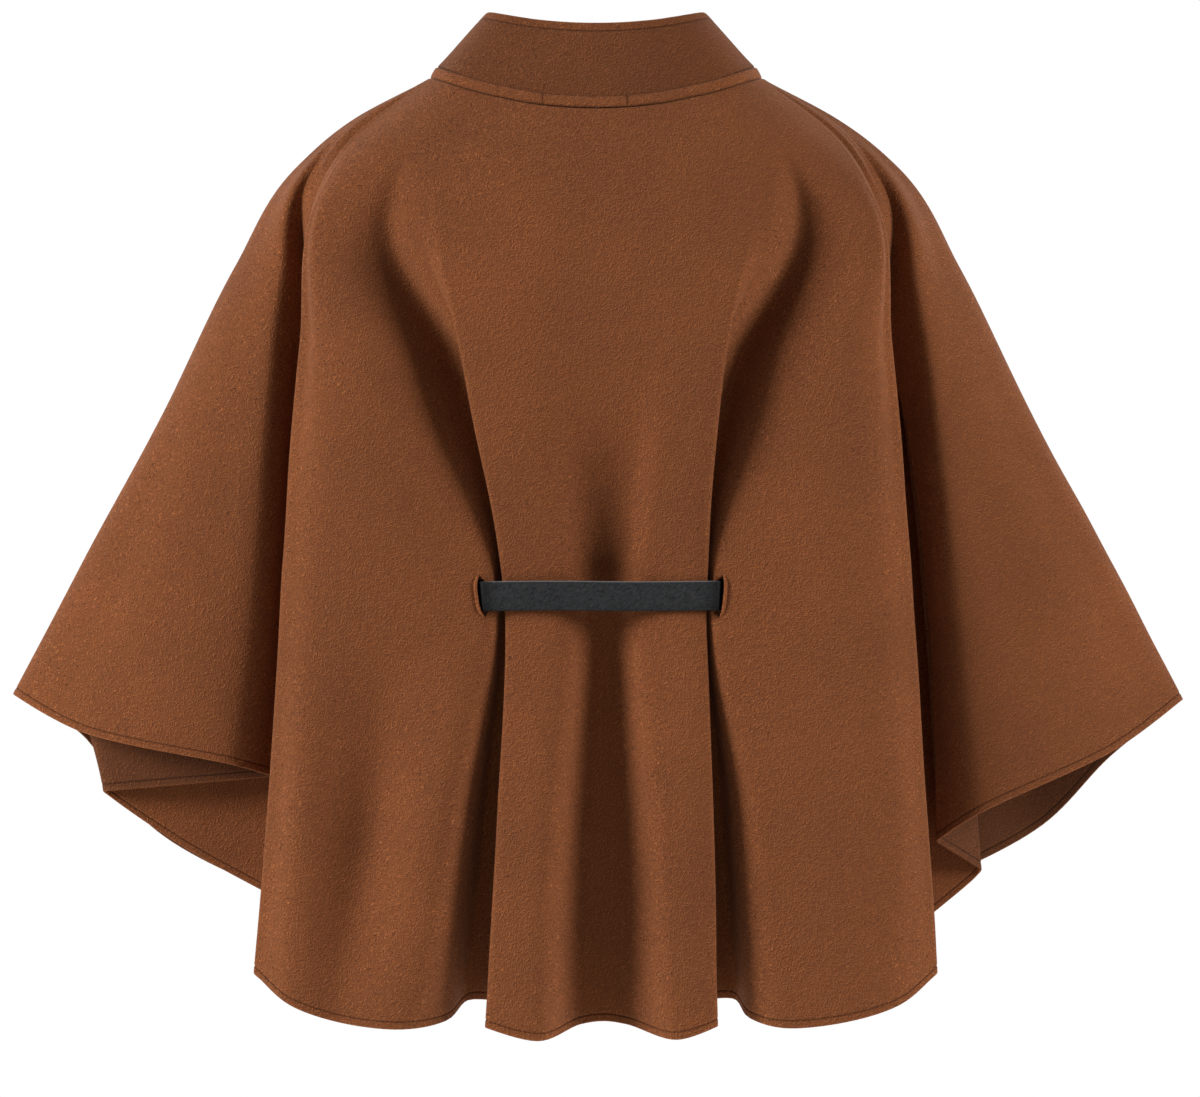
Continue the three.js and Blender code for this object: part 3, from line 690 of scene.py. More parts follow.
def curls(made, shift):
    """Winding lines, 1 on the line and 0 between, where a soft noise passes its middle value."""
    field = made.noise(made.place(shift=shift), CURL_SCALE, 0.6, 0.4, 1.1)
    off = made.maths("ABSOLUTE", made.maths("SUBTRACT", field, 0.5))
    near = made.maths("MINIMUM", made.maths("DIVIDE", off, CURL_HALF), 1.0)
    return made.maths("SUBTRACT", 1.0, near)


def wool_material():
    """Brushed wool coating: short curled fibres, each with a shadow beside it, over a soft even ground."""
    material, made, shader = surface("brushed wool")
    even = made.place()
    fuzz = made.noise(even, 1100, 2.0, 0.6, 0.6)
    mats = made.noise(even, 160, 3.0, 0.6, 0.6)
    clouds = made.noise(even, 9, 3.0, 0.55, 0.3)
    light = curls(made, (0, 0, 0))
    dark = curls(made, (CURL_SHADOW, 0, CURL_SHADOW))
    relief = made.maths("SUBTRACT", light, made.maths("MULTIPLY", dark, 0.9))
    grain = made.weighted((relief, 0.4), (fuzz, 0.4), (mats, 0.12))
    body = made.ramp(grain, [(0.0, WOOL_DARK), (0.26, WOOL_MAIN), (0.58, WOOL_LIGHT)])
    tone = made.ramp(clouds, [(0.3, (0.45, 0.45, 0.45)), (0.7, (0.55, 0.55, 0.545))])
    colour = made.mix(1.0, body, tone, "OVERLAY")
    # The tone attribute's painted highlights and painted shade scale the wool's colour
    shade = made.maths("ADD", made.attribute("tone"), 1.0)
    raised = made.bump(light, 0.6, 0.0005, made.bump(mats, 0.2, 0.0006))
    made.feed(shader, {
        "Base Color": made.mix(1.0, colour, shade, "MULTIPLY"),
        "Roughness": made.greys(mats, 0.86, 0.97),
        "Normal": made.bump(fuzz, 0.4, 0.0003, raised),
        "Specular IOR Level": 0.22,
        "Sheen Weight": 0.12,
        "Sheen Roughness": 0.55,
        "Sheen Tint": (0.75, 0.38, 0.2),
    })
    return material


def thread_material():
    """Polyester sewing thread with a fine twist."""
    material, made, shader = surface("sewing thread")
    wave = made.add("ShaderNodeTexWave", {"Vector": made.place(), "Scale": 900, "Distortion": 2})
    twist = wave.outputs["Fac"]
    made.feed(shader, {
        "Base Color": made.ramp(twist, [(0.2, THREAD), (0.8, THREAD_LIGHT)]),
        "Roughness": 0.8,
        "Normal": made.bump(twist, 0.4, 0.0002),
        "Specular IOR Level": 0.1,
    })
    return material


def leather_material():
    """Black leather with a fine pebbled grain and slanting creases, with painted shadow where it goes into
    the slits and a painted highlight on its upper edge.
    """
    material, made, shader = surface("black leather")
    pebbles = made.add("ShaderNodeTexVoronoi", {"Vector": made.place(), "Scale": 700}, feature="SMOOTH_F1")
    slanting = made.place((1, 1, 2.4), turn=(0, math.radians(-52), 0), vector_type="TEXTURE")
    creased = made.noise(slanting, 760, 2.0, 0.6, 0.8)
    scuffs = made.noise(made.place((1, 1, 3)), 70, 4.0, 0.6, 0.5)
    tone = made.weighted((creased, 0.8), (scuffs, 0.2))
    colour = made.ramp(tone, [(0.36, LEATHER_DARK), (0.66, LEATHER_LIGHT)])
    # Painted shadow in the slits and a painted highlight on the upper edge, from the strap's attributes
    for name, tint in (("shade", LEATHER_SLIT_SHADOW), ("edge", LEATHER_EDGE_HIGHLIGHT)):
        colour = made.mix(made.attribute(name), colour, tint)
    low = made.bump(creased, 0.9, 0.0008)
    made.feed(shader, {
        "Base Color": colour,
        "Roughness": made.greys(scuffs, 0.55, 0.7),
        "Normal": made.bump(pebbles.outputs["Distance"], 0.6, 0.0006, low),
        "Specular IOR Level": 0.14,
    })
    return material


def horn_material():
    """Polished dark horn-like resin with faint brown streaks."""
    material, made, shader = surface("dark horn")
    streaks = made.noise(made.place((1, 1, 4)), 120, 3.0, 0.6, 1.8)
    made.feed(shader, {
        "Base Color": made.ramp(streaks, [(0.35, (0.012, 0.008, 0.006)), (0.7, (0.06, 0.028, 0.014))]),
        "Roughness": made.greys(streaks, 0.2, 0.32),
        "Normal": made.bump(streaks, 0.08, 0.0002),
    })
    return material


def buckle_material():
    """Black painted metal with fine brushed wear."""
    material, made, shader = surface("black painted metal")
    wear = made.noise(made.place((1, 1, 6)), 260, 4.0, 0.6, 0.4)
    made.feed(shader, {
        "Base Color": made.ramp(wear, [(0.4, (0.014, 0.014, 0.015)), (0.8, (0.05, 0.05, 0.052))]),
        "Roughness": made.greys(wear, 0.28, 0.42),
        "Normal": made.bump(wear, 0.1, 0.0001),
        "Metallic": 0.6,
    })
    return material


WOOL = wool_material()
STITCHING = thread_material()
BLACK_LEATHER = leather_material()
HORN = horn_material()
BLACK_METAL = buckle_material()


def dress(obj, material, slot, *nodes):
    """Gives a piece its material and its body, and hides the solids that it stands for. The slot is not used.
    """
    obj.data.materials.clear()
    obj.data.materials.append(material)
    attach(obj, "root")
    if nodes:
        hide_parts(*nodes)
    return obj


# Sewing

STITCH = dict(first=0.5, length=3.0, every=3.9, radius=0.34, sides=5)
# Along a stitch: the share of its length, how high the thread's middle lies and its share of the radius
STITCH_RINGS = [(0, -0.25, 0.25), (0.16, 0.1, 0.85), (0.5, 0.22, 1), (0.84, 0.1, 0.85), (1, -0.25, 0.25)]


def stitch_line(path, out):
    """Vertices and faces of a row of stitches laid along a path, half sunk in the cloth."""
    length = lengths_along(path)
    shares, lift, size = np.array(STITCH_RINGS).T
    points, faces = [], []
    for start in np.arange(STITCH["first"], length[-1] - STITCH["length"], STITCH["every"]):
        at = start + shares * STITCH["length"]
        centre = np.stack([np.interp(at, length, path[:, k]) for k in range(3)], axis=1)
        up = np.stack([np.interp(at, length, out[:, k]) for k in range(3)], axis=1)
        along = unit(centre[-1] - centre[0])
        faces += skin(len(shares), STITCH["sides"], len(points))
        for k in range(len(shares)):
            side = unit(np.cross(along, up[k]))
            for s in range(STITCH["sides"]):
                turn = 2 * math.pi * s / STITCH["sides"]
                ring = side * math.cos(turn) + up[k] * math.sin(turn)
                points.append(centre[k] + up[k] * lift[k] + ring * size[k] * STITCH["radius"])
    return points, faces


def joined(name, parts, smooth=True):
    """One mesh object from several lists of vertices and faces, in millimetres."""
    points, faces = [], []
    for part_points, part_faces in parts:
        base = len(points)
        points += [tuple(np.asarray(p) * MM) for p in part_points]
        faces += [tuple(i + base for i in face) for face in part_faces]
    mesh = bpy.data.meshes.new(name)
    mesh.from_pydata(points, [], faces)
    mesh.update()
    obj = bpy.data.objects.new(name, mesh)
    bpy.context.collection.objects.link(obj)
    if smooth:
        smoothed(obj)
    work = bmesh.new()
    work.from_mesh(mesh)
    bmesh.ops.recalc_face_normals(work, faces=work.faces)
    work.to_mesh(mesh)
    work.free()
    return obj


def skin(rings, sides, base=0):
    """Faces round a row of rings of points, closed at both ends."""
    faces = []
    for k in range(rings - 1):
        for s in range(sides):
            a = base + k * sides + s
            b = base + k * sides + (s + 1) % sides
            faces.append((a, b, b + sides, a + sides))
    first = tuple(base + s for s in range(sides))
    return [*faces, first[::-1], tuple(i + (rings - 1) * sides for i in first)]


def tube(points, radius, sides=8):
    """A round tube along points, closed at its ends. The radius may be a list with one for each point."""
    points = np.array(points, float)
    radii = np.broadcast_to(radius, len(points))
    along = unit(np.gradient(points, axis=0))
    guide = np.array([0.31, 0.52, 0.79])
    made = []
    for k, p in enumerate(points):
        a = unit(np.cross(along[k], guide))
        b = np.cross(along[k], a)
        for s in range(sides):
            turn = 2 * math.pi * s / sides
            made.append(p + (a * math.cos(turn) + b * math.sin(turn)) * radii[k])
    return made, skin(len(points), sides)


def row_at(made, distance):
    """The row of a cloth piece that lies nearest a distance from its hem."""
    from_hem = made["from_hem"]
    return int(np.argmin(np.abs(from_hem[:, from_hem.shape[1] // 2] - distance)))


def both_faces(middle, out, half):
    """Stitches on the outer and the inner face of a row of the cloth."""
    proud = out * half[:, None]
    return [stitch_line(middle + proud, out), stitch_line(middle - proud, -out)]


def hem_stitches(made):
    row = row_at(made, HEM_BAND)
    return both_faces(made["grid"][row], made["out"][row], made["half"][row])


def side_stitches(made, line):
    """The stitched line beside a front edge, down to the hem's."""
    distance = made["sides"][line]
    column = int(np.argmin(np.abs(distance[distance.shape[0] // 2] - HEM_BAND)))
    rows = slice(0, row_at(made, HEM_BAND) + 1)
    return both_faces(*(made[key][rows, column] for key in ("grid", "out", "half")))


# The cloth pieces

# The slit's rim: its radius, how far out and up it lies, its steps, and the painted highlight along it
LIP = dict(radius=1.35, out=1.1, raise_by=0.75, steps=40, painted_highlight=0.25)


def slit_lip(cloth, slit):
    """The raw outer edge of a slit, pushed up by the belt into a thin uneven rim."""
    path, radii = [], []
    for k in range(LIP["steps"] + 1):
        t = k / LIP["steps"]
        x, z = slit_edge(slit, "far", t)
        x += slit["side"] * LIP["out"]
        _, place, _, _ = cloth.ray_cast((x * MM, 0.3, z * MM), (0, -1, 0))
        full = (1 - abs(2 * t - 1) ** 4) ** 0.5
        path.append((x, place.y / MM + LIP["raise_by"] * full - 0.9 * (1 - full), z))
        uneven = 1 + 0.09 * math.sin(2.3 * k) + 0.05 * math.sin(5.1 * k)
        radii.append(LIP["radius"] * (0.25 + 0.75 * full) * uneven)
    return tube(path, radii, 10)


back, back_made = cloth_piece("cape_back", SEAMS[0], SEAMS[1], BACK_STEP, BACK_ROWS)
bpy.context.view_layer.update()
lips = joined("cape_slit_edges", [slit_lip(back, slit) for slit in SLITS])
# The rim gets a painted highlight through the tone attribute
lip_tone = lips.data.attributes.new("tone", "FLOAT", "POINT")
lip_tone.data.foreach_set("value", [LIP["painted_highlight"]] * len(lips.data.vertices))
dress(lips, WOOL, "wool")
for slit in SLITS:
    cut(back, slit_cutter(slit))
dress(back, WOOL, "wool", "back")
left, left_made = cloth_piece("cape_front_left", 0, SEAMS[0], FRONT_STEP, FRONT_ROWS)
dress(left, WOOL, "wool", "front_left")
right, right_made = cloth_piece("cape_front_right", SEAMS[1], LAST_LINE, FRONT_STEP, FRONT_ROWS)
dress(right, WOOL, "wool", "front_right")


# The neck: a rolled welt at the seam, and the stand collar inside it

# How far apart the ends are at the centre front, the columns along the neck, and where the tacks lie
CENTRE_GAP = 0.3
NECK_STEP = 4.5
TACKS = (39.0, -24.5)
# A painted highlight over the welt, and painted shade in the grooves at its top and foot
WELT_PAINTED_HIGHLIGHT = 0.07
WELT_EDGE_PAINTED_SHADE = 0.5


def neck_seam():
    """Points, outward directions and directions along the neck seam, from centre front round to it."""
    fine = np.linspace(1, LAST_LINE - 1, 6000)
    length = lengths_along(across(fine)[0])
    wanted = np.linspace(CENTRE_GAP / 2, length[-1] - CENTRE_GAP / 2, int(length[-1] / NECK_STEP))
    rows = across(np.interp(wanted, length, fine))[:8]
    return rows[0], normals_of(rows)[0], unit(np.gradient(rows[0], axis=0))


SEAM_POINTS, SEAM_OUT, SEAM_ALONG = neck_seam()
INWARD = unit(SEAM_OUT * (-1, -1, 0))
UP = np.array([0.0, 0.0, 1.0])


def welt_rows():
    """The welt's middle at three heights, as in the solids, and its face's direction."""
    foot = SEAM_POINTS + np.cross(SEAM_OUT, SEAM_ALONG) * WELT_CLEAR
    middle = SEAM_POINTS + INWARD * WELT_MIDDLE[0] + UP * WELT_MIDDLE[1]
    top = SEAM_POINTS + INWARD * WELT_TOP[0] + UP * WELT_TOP[1]
    face = unit(np.cross(SEAM_ALONG, top - middle))
    face *= -np.sign(np.sum(face * INWARD, axis=1, keepdims=True))
    return foot, middle, top, face


def welt_piece():
    """A padded roll that bulges between its seam with the body and its rounded top edge."""
    foot, middle, top, face = welt_rows()
    rise = np.concatenate([[0, 0.012, 0.035, 0.08], np.linspace(0.14, 0.86, 13), [0.92, 0.965, 0.988, 1]])
    fullness = np.abs(unit(SEAM_OUT * (1, 1, 0))[:, 1])
    grid, out, half_out, half_in = [], [], [], []
    for t in rise[::-1]:
        if t < 0.5:
            point = foot + (middle - foot) * (t / 0.5)
            direction = unit(SEAM_OUT + (face - SEAM_OUT) * (t / 0.5))
        else:
            point = middle + (top - middle) * ((t - 0.5) / 0.5)
            direction = face
        roll = math.sqrt(max(0.0, 1 - (2 * t - 1) ** 2))
        end = math.sqrt(max(0.02, 1 - abs(2 * t - 1) ** 7))
        grid.append(point)
        out.append(direction)
        proud = WELT_CLOTH / 2 * end * (0.6 + 0.4 * fullness) + WELT_ROLL * roll * fullness
        half_out.append(proud - 0.35 * (1 - roll))
        half_in.append(np.full(len(foot), WELT_CLOTH / 2 * end))
    arrays = [np.array(a) for a in (grid, half_out, half_in, out)]
    # Painted highlight over the roll, painted shade at its top and foot edges
    tone = WELT_PAINTED_HIGHLIGHT - WELT_EDGE_PAINTED_SHADE * np.abs(2 * rise[::-1] - 1) ** 9
    return shell("cape_neck_welt", *arrays, tone[:, None])


def collar_rows():
    """The collar's foot, a little higher, and its top edge, as in the solids."""
    _, middle, top, welt_face = welt_rows()
    inside = (WELT_CLOTH + COLLAR_CLOTH) / 2 + SEAM_GAP
    foot = middle - welt_face * inside
    rise = top - welt_face * inside
    x, y = SEAM_POINTS[:, 0], SEAM_POINTS[:, 1]
    back_side = y > 0
    reach = np.where(back_side, NECK["back"], NECK["front"])
    ring = np.clip(1 - (np.abs(x) / NECK["half"]) ** NECK["power"], 0, 1) ** (1 / NECK["power"])
    on_ring = np.sign(y) * reach * ring
    top_reach = np.where(back_side, COLLAR_TOP["back"], COLLAR_TOP["front"])
    top_end = np.where(back_side, COLLAR_TOP["back_z"], COLLAR_TOP["front_z"])
    edge = np.stack(
        [
            x * COLLAR_TOP["half"] / NECK["half"],
            on_ring * top_reach / reach + (y - on_ring),
            COLLAR_TOP["side_z"] + (top_end - COLLAR_TOP["side_z"]) * ring**2,
        ],
        axis=1,
    )
    return foot, rise, edge


# Painted shade that makes the collar look a little darker than the body
COLLAR_PAINTED_SHADE = -0.25
# Painted shade in the groove where the collar meets the welt's top edge
GROOVE_PAINTED_SHADE = 0.55
# How full the stitched band is, and how far its two top corners drop, over what width
COLLAR_ROLL = 0.9
CORNER_DROP = 3.2
CORNER_REACH = 3.2


def collar_piece():
    """The stand, with a turned and topstitched upper edge and a slight swell over its height."""
    foot, rise, edge = collar_rows()
    edge[:, 2] -= CORNER_DROP * np.exp(-(((COLLAR_TOP["half"] - np.abs(edge[:, 0])) / CORNER_REACH) ** 2))
    height = np.linalg.norm(edge - rise, axis=1).mean()
    steps = [d * COLLAR_BAND / HEM_BAND for d in EDGE_STEPS]
    low = [d / height for d in (0, 0.1, 0.25, 0.5, 0.8, 1.1, 1.4, 2.2)]
    shares = sorted([*low, *np.linspace(0.08, 0.8, 14), *(1 - d / height for d in steps)])[::-1]
    x = edge[:, 0]
    grid = np.array([rise + (edge - rise) * t for t in shares] + [(foot + rise) / 2, foot])
    out = normals_of(grid)
    waist = np.sin(np.pi * np.clip(np.array(shares + [0, 0]), 0, 1))
    wave = 0.9 * np.sin(x / 19 + 0.6) * np.sin(x / 47 + 1.1)
    grid = grid + out * (waist[:, None] * (0.8 + wave[None, :]))[..., None]
    distance = np.array([(1 - t) * height for t in shares] + [height, height + 3])
    profile = edge_profile(distance, COLLAR_CLOTH, 1.0, COLLAR_BAND, COLLAR_SINK, 0.75)
    in_band = np.clip(distance / COLLAR_BAND, 0, 1)
    profile = profile + COLLAR_ROLL * np.sin(np.pi * in_band) ** 0.8
    half = profile[:, None] * np.ones(len(x))[None, :]
    half[-1] *= 0.6
    from_ends = np.minimum(np.arange(len(x)), np.arange(len(x))[::-1]) * NECK_STEP
    half = np.minimum(half, edge_profile(from_ends + 0.3, COLLAR_CLOTH, 0)[None, :])
    above = height - distance
    puff = COLLAR_PUFF * np.exp(-np.maximum(above, 0) / 16) * np.sqrt(np.clip(above / 1.3, 0, 1))
    # Painted shade over the collar, weaker in its stitched band
    collar_painted_shade = COLLAR_PAINTED_SHADE * np.where(distance < COLLAR_BAND, 0.4, 1.0)
    # Painted shade in the groove at the collar's foot, just above the welt
    groove = GROOVE_PAINTED_SHADE * np.exp(-((above / 0.9) ** 2))
    tone = collar_painted_shade + edge_painted_light(distance, 1.0, COLLAR_BAND) - groove
    obj = shell("cape_collar", grid, half + puff[:, None], half, out, tone[:, None])
    return obj, grid, out, half, distance


welt = dress(welt_piece(), WOOL, "wool", "neck_welt")
collar, collar_grid, collar_out, collar_half, collar_drop = collar_piece()
dress(collar, WOOL, "wool", "collar")


def neck_stitches():
    """The collar's topstitching, and two small upright tacks over the welt at the back."""
    row = int(np.argmin(np.abs(collar_drop - COLLAR_BAND)))
    parts = both_faces(collar_grid[row], collar_out[row], collar_half[row])
    foot, middle, top, welt_face = welt_rows()
    for x in TACKS:
        behind = SEAM_POINTS[:, 1] > 0
        k = int(np.argmin(np.where(behind, np.abs(SEAM_POINTS[:, 0] - x), np.inf)))
        proud = WELT_CLOTH / 2 + WELT_ROLL + 0.1
        path = [
            foot[k] + SEAM_OUT[k] * (CLOTH / 2 - 0.3),
            foot[k] + (middle - foot)[k] * 0.4 + welt_face[k] * proud * 0.9,
            middle[k] + welt_face[k] * proud,
            middle[k] + (top - middle)[k] * 0.7 + welt_face[k] * proud * 0.92,
            top[k] + welt_face[k] * (WELT_CLOTH / 2 - 0.3),
        ]
        parts.append(tube(path, 0.3, 6))
    return parts


stitching = joined(
    "cape_topstitching",
    [
        *hem_stitches(back_made),
        *hem_stitches(left_made),
        *hem_stitches(right_made),
        *side_stitches(left_made, 0),
        *side_stitches(right_made, LAST_LINE),
        *neck_stitches(),
    ],
)
dress(stitching, STITCHING, "wool")


# The belt and its buckle

BELT_FRONT = -102
# The belt's way in plan, and how far its top edge lies to the left of its lower edge
BELT_PATH = [
    ("centre back", 0, 106.6, 0),
    ("left back", 45, 106.6, 0),
    ("left back, before the slit", 80, 106.6, 0.8),
    ("left, turning in", 83.2, 105.6, 1.8),
    ("left, in the slit", 84.8, 102.3, 2.2),
    ("left, behind the slit", 87, 97.5, 2.2),
    ("left side back", 121, 74, 0),
    ("left side", 146, 6, 0),
    ("left side front", 121, -68, 0),
    ("left front", 62, -96, 0),
    ("centre front", 0, BELT_FRONT, 0),
    ("right front", -62, -96, 0),
    ("right side front", -121, -68, 0),
    ("right side", -147, 6, 0),
    ("right side back", -126, 73, 0),
    ("right, behind the slit", -93.6, 97.5, -1.4),
    ("right, in the slit", -91.4, 102.3, -1.4),
    ("right, turning in", -89.8, 105.6, -1.1),
    ("right back, before the slit", -86.6, 106.6, -0.5),
    ("right back", -48, 106.6, 0),
]


def closed_curve(points, steps):
    """A closed centripetal curve through points, and its direction in plan."""
    points = np.array(points, float)
    made = []
    for k in range(len(points)):
        four = [points[(k + j - 1) % len(points)] for j in range(4)]
        made += [centripetal(*four, w) for w in np.arange(steps) / steps]
    made = np.array(made)
    along = unit((np.roll(made, -1, axis=0) - np.roll(made, 1, axis=0))[:, :2])
    return made, along


# Painted shadow on the belt where it goes into its slits: how far in that starts, over what depth, and how
# far along
SLIT_SHADOW_START = 106.5
SLIT_SHADOW_REACH = 1.6
SLIT_SHADOW_WIDTH = 9.0


def strap(name, path, along, width, thickness, top):
    """A closed strap standing on edge along a path in plan, with rounded edges, painted shadow where it runs
    into the slits and a painted highlight on its upper edge.
    """
    half = thickness / 2
    profile = [(-half, -width + 0.9), (-half * 0.7, -width + 0.25), (0, -width), (half * 0.7, -width + 0.25)]
    profile += [(half, -width + 0.9), (half * 1.06, -width / 2), (half, -0.9), (half * 0.7, -0.25)]
    profile += [(0, 0), (-half * 0.7, -0.25), (-half, -0.9), (-half, -width / 2)]
    out = np.stack([-along[:, 1], along[:, 0]], axis=1) * -1
    count, ring = len(path), len(profile)
    sag = 0.25 * np.sin(path[:, 0] / 21.0)
    points = []
    for k in range(count):
        for across_by, height in profile:
            x, y = path[k, :2] - out[k] * across_by
            points.append((x + path[k, 2] * (height / width + 0.5), y, top + height + sag[k]))
    faces = []
    for k in range(count):
        here, there = k * ring, (k + 1) % count * ring
        for c in range(ring):
            n = (c + 1) % ring
            faces.append((here + c, here + n, there + n, there + c))
    obj = joined(name, [(points, faces)])
    shade = obj.data.attributes.new("shade", "FLOAT", "POINT")
    edge = obj.data.attributes.new("edge", "FLOAT", "POINT")
    # Painted shadow where the belt runs into the slits and behind the cloth
    depth = np.repeat(np.clip((SLIT_SHADOW_START - path[:, 1]) / SLIT_SHADOW_REACH, 0, 1), ring)
    near = np.repeat(np.minimum(abs(path[:, 0] - SLITS[0]["head"]), abs(path[:, 0] + SLITS[1]["head"])), ring)
    slit_shadow = np.maximum(depth, np.exp(-((near / SLIT_SHADOW_WIDTH) ** 2)))
    shade.data.foreach_set("value", slit_shadow)
    # A painted highlight along the upper edge, left off where the painted shadow is
    lit = np.tile([1.0 if h > -0.4 else 0.0 for _, h in profile], count)
    edge.data.foreach_set("value", lit * (1 - slit_shadow))
    return obj


belt_path, belt_along = closed_curve([(x, y, lean) for _, x, y, lean in BELT_PATH], 16)
belt = strap("cape_belt", belt_path, belt_along, BELT_WIDTH, BELT_THICKNESS, BELT_TOP)
dress(belt, BLACK_LEATHER, "leather", "belt")


def bevelled(obj, width, segments=3):
    modifier = obj.modifiers.new("edges", "BEVEL")
    modifier.width = width
    modifier.segments = segments
    modifier.limit_method = "ANGLE"
    modifier.angle_limit = math.radians(35)
    return smoothed(applied(obj, modifier))


def rounded_outline(width, height, radius, steps=7):
    points = []
    for cx, cz, start in ((1, 1, 0), (-1, 1, 90), (-1, -1, 180), (1, -1, 270)):
        for k in range(steps + 1):
            a = math.radians(start + 90 * k / steps)
            x = cx * (width / 2 - radius) + radius * math.cos(a)
            points.append((x, cz * (height / 2 - radius) + radius * math.sin(a)))
    return points


BUCKLE = dict(width=34, height=36, bar=5, thickness=3, round=6)


def buckle_piece():
    """The frame lying on the belt at the centre front."""
    outer = rounded_outline(BUCKLE["width"], BUCKLE["height"], BUCKLE["round"])
    bar = BUCKLE["bar"]
    inner = rounded_outline(BUCKLE["width"] - 2 * bar, BUCKLE["height"] - 2 * bar, BUCKLE["round"] - bar / 2)
    near = BELT_FRONT - BELT_THICKNESS / 2 - SEAM_GAP
    middle = BELT_TOP - BELT_WIDTH / 2
    depths = (near, near - BUCKLE["thickness"])
    points = [(x, y, z + middle) for y in depths for ring in (outer, inner) for x, z in ring]
    count = len(outer)
    faces = []
    for k in range(count):
        n = (k + 1) % count
        faces.append((k, n, count + n, count + k))
        faces.append((2 * count + k, 3 * count + k, 3 * count + n, 2 * count + n))
        faces.append((k, 2 * count + k, 2 * count + n, n))
        faces.append((count + k, count + n, 3 * count + n, 3 * count + k))
    return bevelled(joined("cape_buckle", [(points, faces)]), 0.0007)


dress(buckle_piece(), BLACK_METAL, "buckle", "buckle")


# Buttons down the centre front, each with four holes and a stitched buttonhole

BUTTON = dict(radius=12, thickness=4, shank=1.6, hole=1.15, spread=2.1, sides=48)
BUTTON_LIFT = CLOTH / 2 + BUTTON["shank"] + SEAM_GAP
# From the middle of the underside round the rim to the dished middle: shares of the radius and the thickness
BUTTON_PROFILE = [(0, 0), (0.7, 0), (0.9, 0.0625), (0.985, 0.3), (1, 0.5), (0.985, 0.75), (0.93, 0.96)]
BUTTON_PROFILE += [(0.86, 1), (0.79, 0.95), (0.7, 0.8), (0.5, 0.74), (0, 0.72)]
BUTTON_DISH = 0.74
BUTTONS = dict(first=0.045, last=0.47, count=4)
BUTTON_THREAD = dict(radius=0.22, apart=0.35, bow=0.75, sunk=1.2, shank_radius=1.3)
BUTTONHOLE = dict(half=13.5, behind=10.5, rise=1.15, radius=0.55, steps=48)


def button_seat(share):
    """Where a button sits on the right front, and the directions out, up and across there."""
    place = LAST_LINE - 1
    curves = across([place - 0.03, place, place + 0.03])
    at = share * (len(DROP_SHARES) - 1)
    i = int(at)
    rows = curves[i : i + 3]
    out = normals_of(rows)[0, 1]
    point = curves[i, 1] + (curves[i + 1, 1] - curves[i, 1]) * (at - i)
    up = unit(UP - out * (UP @ out))
    side = np.cross(up, out)
    return point, out, up, side


def button_body(name):
    """A turned button with a raised rim, a dished middle and four holes, as a mesh about its own axis."""
    profile = [(BUTTON["radius"] * r, BUTTON["thickness"] * t) for r, t in BUTTON_PROFILE]
    sides = BUTTON["sides"]
    points, faces = [(0, 0, 0)], []
    for radius, height in profile[1:-1]:
        for s in range(sides):
            a = 2 * math.pi * s / sides
            points.append((radius * math.cos(a), radius * math.sin(a), height))
    points.append((0, 0, profile[-1][1]))
    rings = len(profile) - 2
    for s in range(sides):
        n = (s + 1) % sides
        faces.append((0, 1 + n, 1 + s))
        for k in range(rings - 1):
            a = 1 + k * sides
            faces.append((a + s, a + n, a + sides + n, a + sides + s))
        top = 1 + (rings - 1) * sides
        faces.append((top + s, top + n, len(points) - 1))
    body = joined(name, [(points, faces)])
    for dx, dy in ((1, 1), (1, -1), (-1, 1), (-1, -1)):
        place = (dx * BUTTON["spread"] * MM, dy * BUTTON["spread"] * MM, 0)
        bpy.ops.mesh.primitive_cylinder_add(
            vertices=20, radius=BUTTON["hole"] * MM, depth=12 * MM, location=place
        )
        cut(body, bpy.context.object)
    return smoothed(body)


def place_mesh(obj, point, out, up, side):
    """Moves a mesh made about the origin, with its axis up, onto a seat."""
    count = len(obj.data.vertices)
    flat = np.empty(count * 3)
    obj.data.vertices.foreach_get("co", flat)
    local = flat.reshape(-1, 3)
    placed = local[:, :1] * side + local[:, 1:2] * up + local[:, 2:3] * out + np.asarray(point) * MM
    obj.data.vertices.foreach_set("co", placed.ravel())
    obj.data.update()


def button_threads(point, out, up, side):
    """Two crossed stitches through the holes and the thread shank under the button."""
    high = BUTTON_LIFT + BUTTON["thickness"] * BUTTON_DISH
    parts = []
    for dx, dy in ((1, 1), (1, -1)):
        for shift in (-BUTTON_THREAD["apart"], 0.0, BUTTON_THREAD["apart"]):
            path = []
            for t in np.linspace(-1, 1, 9):
                rise = high + BUTTON_THREAD["bow"] * (1 - t * t)
                rise -= BUTTON_THREAD["sunk"] if abs(t) == 1 else 0
                along = dx * BUTTON["spread"] * t + shift * dy
                above = dy * BUTTON["spread"] * t - shift * dx
                path.append(point + side * along + up * above + out * rise)
            parts.append(tube(path, BUTTON_THREAD["radius"], 6))
    heights = (CLOTH / 2 - 0.4, CLOTH / 2 + 0.6, BUTTON_LIFT - 0.2, BUTTON_LIFT + 0.4)
    parts.append(tube([point + out * height for height in heights], BUTTON_THREAD["shank_radius"], 12))
    return parts


def buttonhole(point, out, side):
    """The thread-bound edges of a level buttonhole that runs back from the button."""
    path = []
    for k in range(BUTTONHOLE["steps"] + 1):
        a = 2 * math.pi * k / BUTTONHOLE["steps"]
        c, s = math.cos(a), math.sin(a)
        along = BUTTONHOLE["half"] * math.copysign(abs(c) ** 0.35, c) - BUTTONHOLE["behind"]
        path.append(point + side * along + UP * BUTTONHOLE["rise"] * s + out * (CLOTH / 2 + 0.1))
    return tube(path, BUTTONHOLE["radius"], 6)


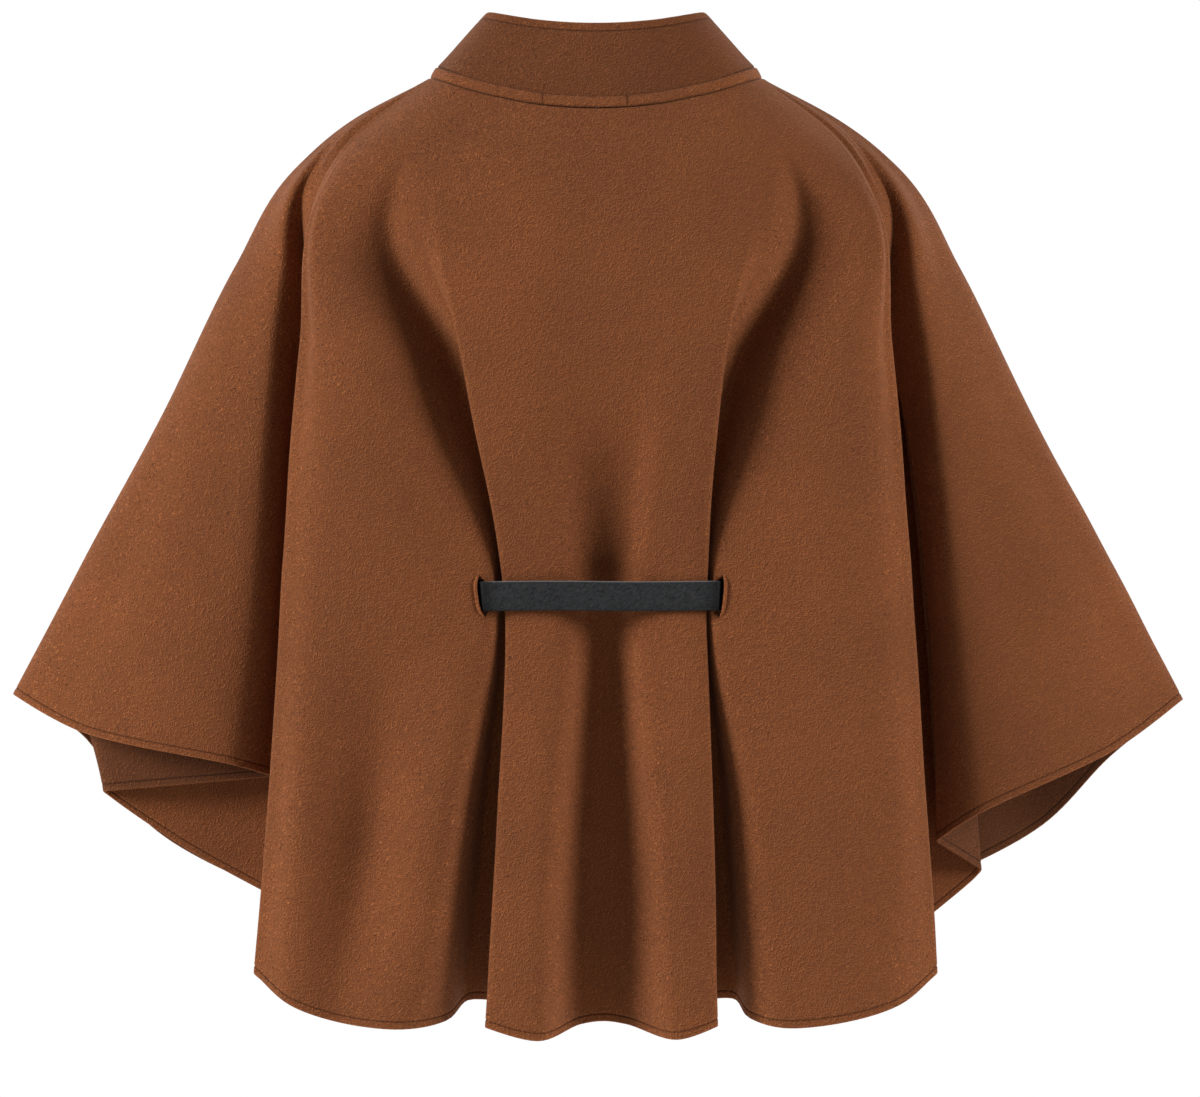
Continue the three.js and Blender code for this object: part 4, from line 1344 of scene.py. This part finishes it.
threads = []
for k in range(BUTTONS["count"]):
    share = BUTTONS["first"] + (BUTTONS["last"] - BUTTONS["first"]) * k / (BUTTONS["count"] - 1)
    point, out, up, side = button_seat(share)
    button = button_body(f"cape_button_{k + 1}")
    place_mesh(button, point + out * BUTTON_LIFT, out, up, side)
    dress(button, HORN, "buttons", f"button_{k + 1}")
    threads += button_threads(point, out, up, side)
    threads.append(buttonhole(point, out, side))
dress(joined("cape_button_threads", threads), STITCHING, "buttons")


# The studio

def plain_floor():
    """A pale floor well below the cape, as under somebody who wears it."""
    bpy.ops.mesh.primitive_plane_add(size=3.4, location=(0, 0, -1.15))
    floor = bpy.context.object
    floor.name = "floor"
    material, made, shader = surface("pale floor")
    made.feed(shader, {"Base Color": (0.86, 0.86, 0.86), "Roughness": 0.8})
    floor.data.materials.append(material)


# Each lamp's name, place, what it is aimed at, its size in metres and its power in watts
LAMPS = [
    ("left lamp", (3.0, 1.15, 0.65), (0, 0.05, -0.4), 1.4, 134),
    ("right lamp", (-3.0, 1.15, 0.65), (0, 0.05, -0.4), 1.4, 108),
    ("low lamp", (0, 3.0, -0.3), (0, 0.05, -0.4), 1.6, 3),
    ("front left lamp", (1.9, -2.2, 1.2), (0, 0, -0.35), 1.1, 45),
    ("front right lamp", (-1.9, -2.2, 1.2), (0, 0, -0.35), 1.1, 45),
]
SURROUNDINGS_SEEN = 1.0
SURROUNDINGS_LIT = 0.075


def soft_light(name, place, aim, size, power):
    data = bpy.data.lights.new(name, "AREA")
    data.shape = "DISK"
    data.size = size
    data.energy = power
    light = bpy.data.objects.new(name, data)
    light.location = place
    light.rotation_euler = (Vector(aim) - Vector(place)).to_track_quat("-Z", "Y").to_euler()
    bpy.context.collection.objects.link(light)


def studio():
    """White surroundings that light the cape only a little, and large soft lamps."""
    world = bpy.data.worlds.new("studio")
    bpy.context.scene.world = world
    world.use_nodes = True
    made = Nodes(world.node_tree)
    lit, seen = (
        made.add("ShaderNodeBackground", {"Color": (1, 1, 1), "Strength": strength}).outputs[0]
        for strength in (SURROUNDINGS_LIT, SURROUNDINGS_SEEN)
    )
    to_camera = made.add("ShaderNodeLightPath").outputs["Is Camera Ray"]
    mixed = made.add("ShaderNodeMixShader", {0: to_camera, 1: lit, 2: seen})
    made.add("ShaderNodeOutputWorld", {"Surface": mixed.outputs[0]})
    for lamp in LAMPS:
        soft_light(*lamp)


# The photograph is 1200 by 1097 pixels, and 0.75 mm of the cape's back falls on each pixel
PHOTO_WIDTH = 1200
PIXEL = 0.75
CAMERA_FAR = 3200.0
BACK_PLANE = 60.0
VIEW_CENTRE = (-3.0, -351.4)
SENSOR = 36.0


def camera():
    data = bpy.data.cameras.new("camera")
    data.sensor_width = SENSOR
    data.lens = SENSOR * CAMERA_FAR / (PHOTO_WIDTH * PIXEL)
    seen = bpy.data.objects.new("camera", data)
    seen.location = (VIEW_CENTRE[0] * MM, (BACK_PLANE + CAMERA_FAR) * MM, VIEW_CENTRE[1] * MM)
    seen.rotation_euler = (math.radians(90), 0, math.radians(180))
    bpy.context.collection.objects.link(seen)
    bpy.context.scene.camera = seen


plain_floor()
studio()
camera()
view = bpy.context.scene.view_settings
view.view_transform = "Standard"
view.look = "None"
